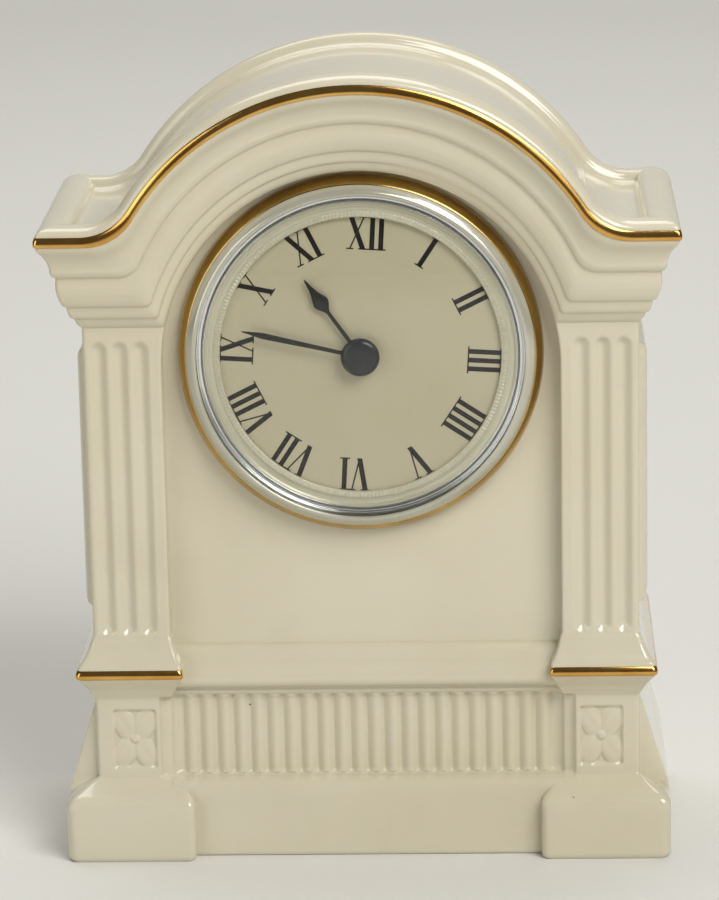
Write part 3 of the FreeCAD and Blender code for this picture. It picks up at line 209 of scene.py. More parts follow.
@dataclass(frozen=True)
class Finish:
    """One surface finish, with a second tone, uneven gloss, a fine grain and small marks."""

    name: str
    colour: Triple
    tone: Triple
    patch: float
    roughness: float
    unevenness: float
    grain: float
    grain_depth: float
    wear: Wear = Wear.NONE
    metallic: float = 0.0
    coat: float = 0.0
    specular: float = 0.5
    subsurface: float = 0.0

    def material(self) -> bpy.types.Material:
        """Build the material.

        Returns:
            The material.
        """
        tree = ShaderTree(self.name)
        patches = tree.noise(self.patch)
        colour = tree.mix(patches.fade(0.3, 0.7), self.colour, self.tone)
        rough = self.roughness - self.unevenness / 2 + tree.noise(self.patch / 3) * self.unevenness
        height = tree.noise(self.grain, detail=4.0)
        if self.wear is Wear.PINHOLES:
            holes = tree.spots(pitch=9.0, radius=0.30, share=0.16)
            colour = tree.mix(holes, colour, (0.10, 0.06, 0.03))
            haze = tree.noise(size=26.0, detail=5.0).fade(0.52, 0.78)
            colour = tree.mix(haze * 0.25, colour, (0.50, 0.44, 0.31))
            rough, height = rough + holes * 0.3, height - holes * 3.0
        if self.wear is Wear.SCRATCHES:
            lines = tree.noise(size=2.4, detail=1.0, stretch=(1.0, 1.0, 0.04)).fade(0.68, 0.72)
            rough, height = rough + lines * 0.12, height - lines * 0.6
        if self.wear is Wear.SPECKS:
            dust = tree.spots(pitch=5.0, radius=0.12, share=0.12)
            colour = tree.mix(dust, colour, (0.30, 0.22, 0.12))
            rough = rough + dust * 0.4
        bump = {"Strength": 1.0, "Distance": self.grain_depth * MILLIMETRE, "Height": height}
        tree.feed(tree.surface, {
            "Base Color": colour, "Roughness": rough, "Metallic": self.metallic, "Coat Weight": self.coat,
            "Coat Roughness": 0.05, "Specular IOR Level": self.specular,
            "Normal": tree.node("ShaderNodeBump", {}, bump).outputs["Normal"],
        })
        if self.subsurface:
            depth = {"Subsurface Weight": self.subsurface, "Subsurface Scale": 1.5 * MILLIMETRE}
            tree.feed(tree.surface, depth)
        return tree.material


@dataclass(frozen=True)
class ClearLens:
    """Clear moulded lens: gloss that grows with the slant, over plain transparency, with a few specks."""

    name: str = "clear_lens"
    straight: float = 0.022

    def material(self) -> bpy.types.Material:
        """Build the material.

        Returns:
            The material.
        """
        tree = ShaderTree(self.name)
        rough = 0.015 + tree.noise(8.0) * 0.02
        tree.feed(tree.surface, {"Base Color": (0.98, 0.98, 0.97), "Metallic": 1.0, "Roughness": rough})
        clear = tree.node("ShaderNodeBsdfTransparent", {}, {"Color": (0.985, 0.985, 0.975)})
        slope = tree.node("ShaderNodeLayerWeight", {}, {"Blend": 0.5}).outputs["Facing"]
        gloss = self.straight + (1.0 - self.straight) * Value(tree, slope) ** 5.0
        dust = tree.spots(pitch=4.0, radius=0.09, share=0.10) * 0.5
        inputs = {0: gloss.larger(dust), 1: clear.outputs[0], 2: tree.surface.outputs[0]}
        both = tree.node("ShaderNodeMixShader", {}, inputs)
        tree.links.new(both.outputs[0], tree.output.inputs["Surface"])
        return tree.material


PORCELAIN = Finish(
    "ivory_glaze", (0.645, 0.592, 0.45), (0.615, 0.56, 0.41), 42.0, 0.13, 0.06, 5.5, 0.012, Wear.PINHOLES,
    coat=0.5, subsurface=0.06,
)
GOLD = Finish(
    "fired_gold", (0.78, 0.46, 0.13), (0.64, 0.34, 0.08), 9.0, 0.15, 0.1, 1.2, 0.006, Wear.SPECKS, 1.0,
)
BEZEL_GOLD = Finish(
    "lacquered_brass", (0.58, 0.39, 0.125), (0.43, 0.275, 0.08), 14.0, 0.16, 0.08, 0.9, 0.004, Wear.SPECKS,
    1.0, 0.3,
)
# Painted reflection: the bezel's gold, painted pale cream where its front bevel would reflect bright
# surroundings.
BEZEL_PAINTED_REFLECTION = Finish(
    "bezel_painted_reflection", (0.525, 0.504, 0.41), (0.484, 0.463, 0.365), 10.0, 0.15, 0.06, 0.8, 0.004, Wear.SPECKS,
    0.35, 0.6,
)
PALE_RING = Finish(
    "pale_ring", (0.6, 0.57, 0.44), (0.56, 0.53, 0.4), 9.0, 0.22, 0.06, 0.5, 0.003, Wear.SPECKS, 0.3, 0.4,
)
BRIGHT = Finish(
    "bright_ring", (0.8, 0.81, 0.82), (0.72, 0.735, 0.76), 12.0, 0.09, 0.06, 0.6, 0.003, Wear.SPECKS, 1.0,
)
DIAL_FACE = Finish(
    "dial_face", (0.5, 0.455, 0.32), (0.47, 0.425, 0.29), 30.0, 0.3, 0.06, 0.4, 0.002, Wear.SPECKS,
)
INK = Finish(
    "printed_ink", (0.008, 0.007, 0.006), (0.013, 0.011, 0.01), 3.0, 0.34, 0.1, 0.3, 0.002, specular=0.2,
)
HAND_BLACK = Finish(
    "black_lacquer", (0.009, 0.009, 0.009), (0.015, 0.014, 0.013), 4.0, 0.24, 0.1, 0.4, 0.002, Wear.SPECKS,
    specular=0.25,
)
CAP_BLACK = Finish(
    "cap_black", (0.008, 0.01, 0.013), (0.013, 0.015, 0.019), 3.0, 0.16, 0.08, 0.5, 0.003, Wear.SPECKS,
    coat=0.15, specular=0.3,
)
BLACK_PLASTIC = Finish(
    "moulded_black", (0.03, 0.03, 0.032), (0.042, 0.042, 0.044), 12.0, 0.46, 0.12, 0.25, 0.02,
    Wear.SCRATCHES,
)
RUBBER = Finish("rubber", (0.035, 0.035, 0.036), (0.05, 0.049, 0.048), 8.0, 0.72, 0.12, 0.4, 0.02)
WHITE_PLASTIC = Finish(
    "moulded_white", (0.74, 0.73, 0.68), (0.7, 0.69, 0.64), 9.0, 0.4, 0.1, 0.3, 0.008, Wear.SCRATCHES,
)
WHEEL_PLASTIC = Finish("wheel_plastic", (0.78, 0.74, 0.6), (0.74, 0.69, 0.54), 4.0, 0.34, 0.1, 0.2, 0.004)
STEEL = Finish(
    "turned_steel", (0.56, 0.56, 0.565), (0.48, 0.48, 0.49), 4.0, 0.28, 0.12, 0.15, 0.004, Wear.SCRATCHES,
    1.0,
)
BRASS = Finish(
    "turned_brass", (0.72, 0.52, 0.23), (0.64, 0.44, 0.18), 4.0, 0.26, 0.1, 0.2, 0.004, Wear.SCRATCHES, 1.0,
)
COPPER = Finish(
    "enamelled_wire", (0.56, 0.22, 0.09), (0.45, 0.16, 0.06), 2.0, 0.3, 0.12, 0.12, 0.02, metallic=0.8,
)
BOARD = Finish(
    "solder_resist", (0.04, 0.17, 0.07), (0.03, 0.14, 0.06), 3.0, 0.34, 0.08, 0.3, 0.006, Wear.SPECKS,
)


# Mesh building


def object_of(name: str, data: bpy.types.ID) -> bpy.types.Object:
    """Make an object at the origin of the scene.

    Args:
        name: Its name.
        data: Its mesh, lamp or camera.

    Returns:
        The object.
    """
    made = bpy.data.objects.new(name, data)
    bpy.context.scene.collection.objects.link(made)
    return made


MATERIALS: dict[str, bpy.types.Material] = {}


def material_of(finish: Finish | ClearLens) -> bpy.types.Material:
    """The material of a finish, made once.

    Args:
        finish: The finish.

    Returns:
        Its material.
    """
    if finish.name not in MATERIALS:
        MATERIALS[finish.name] = finish.material()
    return MATERIALS[finish.name]


def quads(points: Array, rows_close: bool = True, columns_close: bool = True) -> Array:
    """Corners of the faces between the rows and columns of a grid.

    Args:
        points: Rows by columns by three.
        rows_close: Whether the last row joins the first.
        columns_close: Whether the last column joins the first.

    Returns:
        Faces by four.
    """
    rows, columns = points.shape[:2]
    row, column = np.mgrid[: rows - (not rows_close), : columns - (not columns_close)]
    here, below, beside = row * columns, (row + 1) % rows * columns, (column + 1) % columns
    corners = [here + column, here + beside, below + beside, below + column]
    return np.stack(corners, axis=-1).reshape(-1, 4)


@dataclass
class Shell:
    """Grids of points, in millimetres, that together make one piece."""

    name: str
    finish: Finish | ClearLens
    body: str
    slot: str
    replaces: tuple[str, ...]
    crease: float
    points: list[Array] = field(default_factory=list)
    faces: list[list[int]] = field(default_factory=list)

    def grid(self, points: Array, rows_close: bool = True, columns_close: bool = True) -> "Shell":
        """Add a grid of quads.

        Args:
            points: Rows by columns by three.
            rows_close: Whether the last row joins the first.
            columns_close: Whether the last column joins the first.

        Returns:
            This shell.
        """
        start = sum(map(len, self.points))
        self.points.append(points.reshape(-1, 3))
        self.faces.extend((quads(points, rows_close, columns_close) + start).tolist())
        return self

    def prism(self, points: Array) -> "Shell":
        """Add a closed loop carried along a path, with flat ends.

        Args:
            points: Stations by loop points by three.

        Returns:
            This shell.
        """
        self.grid(points, rows_close=False)
        loop = points.shape[1]
        end = sum(map(len, self.points))
        for first in (end - points.shape[0] * loop, end - loop):
            self.faces.append(list(range(first, first + loop)))
        return self

    def finished(self) -> None:
        """Make the mesh object, merged and with its faces turned outwards, riding on its body."""
        mesh = bpy.data.meshes.new(self.name)
        mesh.from_pydata((np.concatenate(self.points) * MILLIMETRE).tolist(), [], self.faces)
        work = bmesh.new()
        work.from_mesh(mesh)
        bmesh.ops.remove_doubles(work, verts=work.verts, dist=2e-6)
        bmesh.ops.recalc_face_normals(work, faces=work.faces)
        work.to_mesh(mesh)
        work.free()
        mesh.polygons.foreach_set("use_smooth", np.ones(len(mesh.polygons), bool))
        mesh.set_sharp_from_angle(angle=math.radians(self.crease))
        mesh.materials.append(material_of(self.finish))
        made = object_of(self.name, mesh)
        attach(made, self.body)
        if self.replaces:
            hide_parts(*self.replaces)
        LOG.info("%s: %d faces", self.name, len(mesh.polygons))


def porcelain(name: str, crease: float) -> Shell:
    """Start a piece of the glazed case, its edges sharp from an angle on."""
    return Shell(name, PORCELAIN, "case", "porcelain", ("case",), crease)


def spread(points: Points, step: float, softness: float) -> Array:
    """A run through some points, sampled evenly and rounded at its corners.

    The run is resampled at a fine step, averaged with a bell curve along its length, and its ends stay.

    Args:
        points: Corners of the run.
        step: Spacing of the samples wanted.
        softness: Width of the bell curve, in the same unit.

    Returns:
        Samples by coordinates.
    """
    corners = np.array(points, float)
    length = np.concatenate([[0.0], np.cumsum(np.hypot(*np.diff(corners, axis=0).T))])
    fine = np.linspace(0.0, length[-1], max(int(length[-1] / step * 4), 8))
    run = np.stack([np.interp(fine, length, column) for column in corners.T], axis=1)
    spacing = fine[1] - fine[0]
    reach = max(int(3 * softness / spacing), 1)
    kernel = np.exp(-0.5 * (np.arange(-reach, reach + 1) * spacing / softness) ** 2)
    first = 2 * run[0] - run[reach:0:-1]
    last = 2 * run[-1] - run[-2 : -reach - 2 : -1]
    padded = np.concatenate([first, run, last])
    soft = np.stack([np.convolve(column, kernel / kernel.sum(), "valid") for column in padded.T], axis=1)
    return soft[::4]


def read_off(points: Points, step: float, softness: float, z: Array) -> Array:
    """First coordinate, at given heights, of a softened run that has the height second."""
    run = spread(points, step, softness)
    return np.interp(z, run[:, 1], run[:, 0])


def smooth_step(values: Array, low: float, high: float) -> Array:
    """Eased step from 0 at low to 1 at high, 3t^2 - 2t^3."""
    share = np.clip((values - low) / (high - low), 0.0, 1.0)
    return share * share * (3.0 - 2.0 * share)


def between(values: Array, low: float, high: float, edge: float) -> Array:
    """One between two limits, with eased edges of a given width."""
    half = edge / 2
    return smooth_step(values, low - half, low + half) * (1 - smooth_step(values, high - half, high + half))


def levels(*spans: tuple[float, float, int]) -> Array:
    """Evenly spaced values over spans, each given by its first value, last value and count."""
    return np.concatenate([np.linspace(*span) for span in spans])


def swing(steps: int, angle: float = math.pi / 2, closed: bool = True) -> Array:
    """Sines and cosines, in two rows, over part of a turn; closed where the last is at the angle."""
    turn = np.linspace(0, angle, steps, endpoint=closed)
    return np.stack([np.sin(turn), np.cos(turn)])


def placed(x: Array, y: Array, z: Array) -> Array:
    """Points from widths, depths and heights that broadcast together."""
    return np.stack(np.broadcast_arrays(x, y, z), axis=-1)


def both_sides(right: Array) -> Array:
    """A row of stations and, before it, its mirror image.

    Args:
        right: Stations from the middle to the right, by coordinates.

    Returns:
        Stations from the left to the right.
    """
    mirror = np.ones(right.shape[-1])
    mirror[0] = -1.0
    return np.concatenate([right[:0:-1] * mirror, right])


RIB_SWING, RIB_POINTS, RIB_HALF = 1.35, 15, 1.15


def gold_rib(reach: float, bulge: float, lean: float) -> tuple[Array, Array]:
    """Reaches and heights of a gold line's section: part of an ellipse that leans to its lower half."""
    turn = np.linspace(-RIB_SWING, RIB_SWING, RIB_POINTS)
    return reach - bulge * (1 - np.cos(turn + lean)), RIB_HALF * np.sin(turn)


@dataclass(frozen=True)
class CaseSizes:
    """Sizes of the case in millimetres, in the part's own frame."""

    back: float = 31.05
    face: float = -22.0
    panel: float = -17.2
    half: float = 60.8
    niche: float = 43.6
    niche_centre: float = 112.2
    niche_floor: float = 47.9
    projection: float = 8.95
    drop: float = 21.1
    crown_drop: float = 19.3
    line: float = 142.6
    crown: float = 175.0
    arch_centre: float = 117.5
    arch_foot: float = 13.0
    foot_least: float = 1.0
    rise_most: float = 6.5
    wall: float = 5.0
    gap: float = 0.02
    dial: float = 114.5
    front_hole: float = 36.3
    rear_hole: float = 34.0
    frieze: tuple[float, float] = (17.9, 36.5)
    frieze_edge: float = 0.9


SIZES = CaseSizes()


def ring_path(reach: Array, drop: Array, rise: Array, corner: float) -> tuple[Array, Array]:
    """Half of one line of the cornice, seen from the front, from the crown to the corner.

    A main arc about the middle, a small hollow arc at its foot and a level run; the centre and radius
    go from the gold line's to the niche's with the drop.

    Args:
        reach: How far the line stands out from the pilaster's side.
        drop: How far it lies below the gold line.
        rise: How far it lies above the gold line.
        corner: Radius left for the corner.

    Returns:
        Widths and heights, stations by lines.
    """
    share = drop / SIZES.drop
    level = SIZES.line - drop + rise
    centre = SIZES.arch_centre + (SIZES.niche_centre - SIZES.arch_centre) * share
    radius = SIZES.crown - SIZES.crown_drop * share + rise - centre
    foot = SIZES.arch_foot * (1 - share) ** 2 + SIZES.foot_least - np.minimum(rise, SIZES.rise_most)
    foot_height = level + foot - centre
    foot_x = np.sqrt((radius + foot) ** 2 - foot_height**2)
    lean = np.arctan2(foot_x, foot_height)
    arc = np.linspace(0, 1, 72)[:, None] * lean
    hollow = np.linspace(1, 0, 18)[1:, None] * lean
    run = np.linspace(0, 1, 16)[1:, None]
    along = (SIZES.half + reach - corner - foot_x) * run
    width = [radius * np.sin(arc), foot_x - foot * np.sin(hollow), foot_x + along]
    height = [centre + radius * np.cos(arc), level + foot - foot * np.cos(hollow), level + 0.0 * run]
    return np.concatenate(width), np.concatenate(height)


@dataclass
class Cornice:
    """Crown moulding, swept over the arch and mitred along both sides, with its gold line and tray."""

    corner: float = 0.9
    back_round: float = 0.8
    side_rim_share: float = 8.2 / 7.2
    gold_root: float = 8.35
    gold_gap: float = 0.05
    tray_reach: float = 3.5
    tray_front: float = 1.4
    profile: Points = (
        (-5.3, 21.1), (-0.35, 21.1), (0.1, 20.9), (0.75, 20.2), (1.25, 19.3), (1.5, 18.55), (2.0, 18.4),
        (2.25, 18.1), (2.62, 17.2), (2.85, 16.2), (2.95, 15.62), (3.5, 15.45), (3.75, 15.1), (4.25, 14.0),
        (4.7, 12.5), (4.9, 10.9), (4.85, 9.4), (4.75, 8.72), (5.3, 8.56), (5.55, 8.25), (6.0, 7.3),
        (5.98, 6.5), (6.25, 5.5), (6.55, 4.7), (6.95, 3.95), (7.42, 3.3), (8.05, 2.55), (8.5, 1.75),
        (8.68, 1.15), (8.62, 0.95), (8.45, 0.85), (8.45, 0.0),
    )
    top: Points = (
        (8.45, 0.0), (8.45, 0.85), (8.62, 0.95), (8.66, 1.25), (8.3, 1.95), (7.6, 2.55), (6.6, 2.92),
        (5.5, 3.08), (4.3, 3.1), (3.3, 2.98), (2.6, 2.6), (2.2, 1.95), (1.95, 1.15), (1.7, 0.62),
        (1.2, 0.52), (-1.5, 0.1),
    )
    tray: Points = (
        (-59.55, 0.5), (-6.4, 0.5), (-5.3, 1.0), (-4.9, 2.2), (-4.2, 2.95), (-2.5, 3.1), (-1.0, 2.95),
        (-0.3, 2.4), (-0.06, 1.6), (-0.06, 0.0),
    )

    def lines(self) -> tuple[Array, Array, Array, Array]:
        """Reach to the front, reach to the side, drop and rise of every line of the moulding.

        Returns:
            Four arrays, the closed section in order.
        """
        lower = spread(self.profile, 0.28, 0.24)
        upper = spread(self.top, 0.35, 0.30)[1:]
        reach = np.concatenate([lower[:, 0], upper[:, 0], [self.top[-1][0], self.profile[0][0]]])
        drop = np.maximum(np.concatenate([lower[:, 1], 0.0 * upper[:, 1], [4.5, 20.0]]), 0.0)
        rise = np.concatenate([0.0 * lower[:, 1], upper[:, 1], [0.0, 0.0]])
        side = reach.copy()
        inward = SIZES.projection - reach[len(lower) : -1]
        side[len(lower) : -1] = SIZES.projection - inward * self.side_rim_share
        return reach, side, drop, rise

    def sweep(self, reach: Array, side: Array, drop: Array, rise: Array, end: float) -> Array:
        """Carry lines round the case from the back on the left to the back on the right.

        Each line runs along the side, turns a small round corner, follows the arch, and comes back.

        Args:
            reach: How far each line stands out in front.
            side: How far it stands out at the side.
            drop: How far it lies below the gold line.
            rise: How far above.
            end: Depth of the last station.

        Returns:
            Stations by lines by three.
        """
        width, height = ring_path(side, drop, rise, self.corner)
        outer = SIZES.half + side
        middle = SIZES.face - reach + self.corner
        sine, cosine = swing(7)[:, 1:, None]
        back_sine, back_cosine = swing(6)[:, 1:, None]
        start = end - self.back_round
        tuck = self.back_round * (1 - back_cosine) * smooth_step(side, -3.0, 2.0)
        run = middle + (start - middle) * np.linspace(0, 1, 26)[1:, None]
        level = SIZES.line - drop + rise
        return both_sides(np.concatenate([
            placed(width, SIZES.face - reach, height),
            placed(outer - self.corner + self.corner * sine, middle - self.corner * cosine, level),
            placed(outer, run, level),
            placed(outer - tuck, start + self.back_round * back_sine, level),
        ]))

    def build(self) -> None:
        """Build the moulding with its broad rim, the gold line and the arched floor of the tray.

        Lines across the tray's depth follow the arch; their rise makes the floor, the back rim and its
        edges.
        """
        moulding = self.sweep(*self.lines(), SIZES.back - SIZES.gap)
        porcelain("cornice_moulding", 50.0).prism(moulding).finished()
        reach, rise = gold_rib(SIZES.projection + 0.06, 0.42, 0.45)
        rise = np.concatenate([rise, [rise[-1], rise[0]]])
        reach = np.concatenate([reach, [self.gold_root, self.gold_root]])
        drop, up = np.maximum(-rise, 0.0), np.maximum(rise, 0.0)
        rib = self.sweep(reach, reach, drop, up, SIZES.back - self.gold_gap)
        Shell("cornice_gold_line", GOLD, "case", "gilding", ("cornice_gilding",), 60.0).prism(rib).finished()
        run = spread(tuple((SIZES.back + y, rise) for y, rise in self.tray), 0.5, 0.35)
        fine = len(run) - 26
        run = run[np.unique(np.concatenate([[0], np.arange(8, fine, 12), np.arange(fine, len(run))]))]
        run = run[run[:, 0] > SIZES.face - self.tray_front]
        last = SIZES.back + self.tray[-1][0]
        y = np.minimum(np.concatenate([run[:, 0], [last, SIZES.back - 1.0, SIZES.face + 1.0]]), last)
        rise = np.concatenate([np.maximum(run[:, 1], 0.0), [0.0, 0.0, 0.0]])
        drop = np.concatenate([0.0 * run[:, 1], [4.0, 5.0, 5.0]])
        width, height = ring_path(np.full(len(y), self.tray_reach), drop, rise, 0.0)
        porcelain("tray_floor", 50.0).prism(both_sides(placed(width, y, height))).finished()


def cove_depth(x: Array) -> Array:
    """Depth of the frieze's ends behind the pilaster face: two small hollows in plan.

    Args:
        x: Distance from the middle.

    Returns:
        Depth in millimetres.
    """
    away = [41.3, 41.7, 42.6, 43.4, 43.85, 44.05, 44.4, 45.3, 46.0, 46.4, 46.6]
    depth = [3.20, 3.18, 2.95, 2.50, 1.95, 1.58, 1.50, 1.30, 0.90, 0.40, 0.0]
    return np.interp(np.abs(x), away, depth)


@dataclass
class Pier:
    """Pilaster, base moulding, pedestal and foot on one side, as one body."""

    hand: str = "right"
    inner_share: float = 0.72
    arch_from: float = 46.0
    root: float = 3.0
    tuck: float = 0.7
    flutes: Triple = (48.15, 52.75, 57.35)
    flute_reach: float = 2.1
    flute_depth: float = 1.12
    flute_span: tuple[float, float] = (53.0, 116.6)
    panel_middle: tuple[float, float] = (52.2, 26.9)
    panel_half: tuple[float, float] = (4.6, 6.7)
    panel_recess: float = 0.8
    panel_edge: float = 0.9
    petal_middle: float = 0.47
    petal_half: tuple[float, float] = (0.45, 0.35)
    petal_power: float = 0.42
    petal_height: float = 0.70
    crease: float = 0.12
    button_radius: float = 1.3
    button_height: float = 0.85
    side_panel: tuple[float, float] = (56.0, 116.0)
    side_margin: float = 6.0
    side_bevel: float = 3.3
    back_round: float = 0.8
    gold_level: float = 43.2
    gold_inner: float = 3.8
    gold_round: float = 1.1
    gold_root: float = 1.6
    gold_end: float = 0.9
    profile: Points = (
        (6.15, 0.0), (6.55, 0.4), (6.8, 1.2), (6.8, 13.0), (6.35, 13.9), (5.2, 15.0), (3.5, 16.0),
        (2.0, 16.9), (0.9, 17.5), (0.0, 17.9), (0.0, 36.4), (0.55, 37.4), (1.55, 39.2), (2.9, 41.0),
        (3.45, 41.8), (3.62, 42.15), (3.4, 42.3), (3.4, 44.1), (3.6, 44.25), (3.45, 44.6), (2.7, 45.5),
        (1.85, 46.7), (1.15, 48.1), (0.62, 49.6), (0.42, 50.3), (0.05, 50.75), (0.0, 51.0), (0.0, 124.0),
    )
    flank: Points = (
        (6.15, 0.0), (6.55, 0.4), (6.8, 1.2), (6.8, 13.2), (6.4, 15.5), (5.3, 19.0), (4.0, 23.0),
        (2.5, 28.2), (1.1, 32.6), (0.3, 35.2), (0.0, 36.5), (0.0, 124.0),
    )

    @property
    def side(self) -> float:
        """One on the right, minus one on the left."""
        return 1.0 if self.hand == "right" else -1.0

    def rosette(self, x: Array, z: Array) -> Array:
        """Height of the four-petalled rosette over the sunk panel.

        Each petal is half an ellipsoid along a diagonal with a shallow crease down its middle; the
        button is a small dome.

        Args:
            x: Widths.
            z: Heights.

        Returns:
            Height in millimetres.
        """
        away_x, away_z = x - self.panel_middle[0], z - self.panel_middle[1]
        across, up = away_x / self.panel_half[0], away_z / self.panel_half[1]
        long, wide = self.petal_half
        height = np.zeros(np.broadcast(x, z).shape)
        for lean in (1.0, -1.0):
            along, beside = (up + lean * across) / 2, (up - lean * across) / 2
            crease = self.crease * np.exp(-((beside / self.crease) ** 2))
            for end in (1.0, -1.0):
                far = (along * end - self.petal_middle) / long
                petal = np.clip(1 - far**2 - (beside / wide) ** 2, 0, 1) ** self.petal_power
                height = np.maximum(height, petal * (self.petal_height - crease))
        button = np.clip(1 - (np.hypot(away_x, away_z) / self.button_radius) ** 2, 0, 1)
        return np.maximum(height, self.button_height * np.sqrt(button))

    def relief(self, x: Array, z: Array) -> Array:
        """Depth of the carving on the front: flutes, the sunk panel and the hollow beside the frieze.

        Args:
            x: Widths.
            z: Heights.

        Returns:
            Depth in millimetres, positive into the body.
        """
        low, high = self.flute_span
        over = np.maximum(np.maximum(low - z, z - high), 0.0)
        depth = np.zeros(np.broadcast(x, z).shape)
        for middle in self.flutes:
            away = np.minimum(np.hypot(x - middle, over) / self.flute_reach, 1.0)
            depth = np.maximum(depth, self.flute_depth * (0.5 + 0.5 * np.cos(math.pi * away)) ** 0.8)
        inside = np.ones(1)
        for place, middle, half in zip((x, z), self.panel_middle, self.panel_half):
            inside = inside * between(place - middle, -half, half, self.panel_edge)
        sunk = inside * (self.panel_recess - np.minimum(self.rosette(x, z), self.panel_recess + 0.05))
        return depth + sunk + cove_depth(x) * between(z, *SIZES.frieze, SIZES.frieze_edge)

    def side_relief(self, y: Array, z: Array) -> Array:
        """Height of the bevelled panel on the side: a steep step, then a long soft bevel to its field.

        Args:
            y: Depths.
            z: Heights.

        Returns:
            Height in millimetres.
        """
        low, high = self.side_panel
        edge = np.minimum(y - (SIZES.face + self.side_margin), (SIZES.back - self.side_margin) - y)
        edge = np.minimum(edge, np.minimum(z - low, high - z))
        return np.interp(edge, [0.0, 0.25, 1.05, 2.0, 3.15], [0.0, 0.5, 1.47, 1.9, 2.1])

    def build(self) -> None:
        """Build the body as plan outlines stacked level by level.

        Each outline goes from the inner side round the front's two soft corners and along the flank to
        the back; the levels lie close together where the mouldings turn.
        """
        z = np.unique(levels(
            (0, 1.4, 7), (2, 12.5, 8), (13, 19.6, 26), (19.9, 34.0, 58), (34.4, 53.0, 66), (53.4, 55.4, 4),
            (55.6, 60.0, 10), (62, 112, 22), (112.6, 124.0, 30),
        ))[:, None]
        reach = read_off(self.profile, 0.25, 0.22, z)
        flank = read_off(self.flank, 0.5, 0.4, z)
        arch = SIZES.niche**2 - np.maximum(z - SIZES.niche_centre, 0.0) ** 2
        straight = SIZES.niche - self.inner_share * reach
        inner = np.where(z > SIZES.niche_centre, np.sqrt(np.maximum(arch, 0.0)), straight)
        inner = np.where(z > self.arch_from, np.minimum(inner, SIZES.niche), inner)
        front, outer, deep = SIZES.face - reach, SIZES.half + reach, SIZES.panel + self.tuck
        small = np.interp(z, [0.0, 13.0, 18.0, 124.0], [1.7, 1.5, 0.6, 0.6])
        large = np.interp(z, [0.0, 13.0, 18.0, 36.0, 43.0, 124.0], [2.3, 2.0, 0.9, 0.8, 1.1, 0.9])
        hollow = cove_depth(SIZES.niche) * between(z, *SIZES.frieze, SIZES.frieze_edge)
        ease = small * (1 - hollow / 2.4)
        sine, cosine = swing(7)[:, 1:]
        corner = inner + ease - ease * cosine
        flat = inner + ease + (outer - large - inner - ease) * np.linspace(0, 1, 96)[1:]
        parts = [
            (inner, deep + (front + hollow + ease - deep) * np.linspace(0, 1, 9)),
            (corner, front + self.relief(corner, z) + ease - ease * sine),
            (flat, front + self.relief(flat, z)),
        ]
        sine, cosine = swing(8)[:, 1:]
        turned = front + large
        parts.append((outer - large + large * sine, turned - large * cosine))
        start = SIZES.face + 1.5
        parts.append((outer, turned + (start - turned) * np.linspace(0, 1, 7)[1:]))
        stops = (start, start + 1.6, SIZES.face + self.side_margin)
        stops += (stops[-1] + self.side_bevel, SIZES.back - self.side_margin - self.side_bevel)
        stops += (SIZES.back - self.side_margin, SIZES.back - self.back_round)
        counts = (12, 6, 13, 12, 13, 5)
        y = np.concatenate([np.linspace(*span)[1:] for span in zip(stops, stops[1:], counts)])
        wide = np.maximum(reach, flank * smooth_step(y, start + 0.2, start + 1.3))
        parts.append((SIZES.half + wide + self.side_relief(y, z), y))
        sine, cosine = self.back_round * swing(6)[:, 1:]
        middle = SIZES.half + np.maximum(reach, flank) - self.back_round
        back = SIZES.back - SIZES.gap
        parts.append((middle + cosine, back - self.back_round + sine))
        wall = SIZES.half - SIZES.wall
        parts += [(wall, back), (wall, deep + self.root), (SIZES.niche, deep + self.root)]
        points = np.concatenate([placed(x * self.side, y, z) for x, y in parts], axis=1)
        porcelain(f"pilaster_{self.hand}", 48.0).prism(points).finished()

    def gold_band(self) -> None:
        """Build the gold line round the base moulding: a thin crowned band on three sides."""
        reach, z = gold_rib(3.95, 0.60, 0.40)
        front, outer = SIZES.face - reach, SIZES.half + reach
        inner = SIZES.niche - self.inner_share * self.gold_inner - (reach - self.gold_inner)
        radius, small = self.gold_round, self.back_round
        stations = [(inner, SIZES.face - self.gold_root)]
        for sine, cosine in small * swing(5).T:
            stations.append((inner + small - cosine, front + small - sine))
        for sine, cosine in radius * swing(7).T:
            stations.append((outer - radius + sine, front + radius - cosine))
        for sine, cosine in small * swing(5).T:
            stations.append((outer - small + cosine, SIZES.back - self.gold_end + sine))
        points = np.stack([placed(x * self.side, y, z + self.gold_level) for x, y in stations])
        name, node = f"base_gold_line_{self.hand}", f"base_gilding_{self.hand}"
        Shell(name, GOLD, "case", "gilding", (node,), 60.0).prism(points).finished()


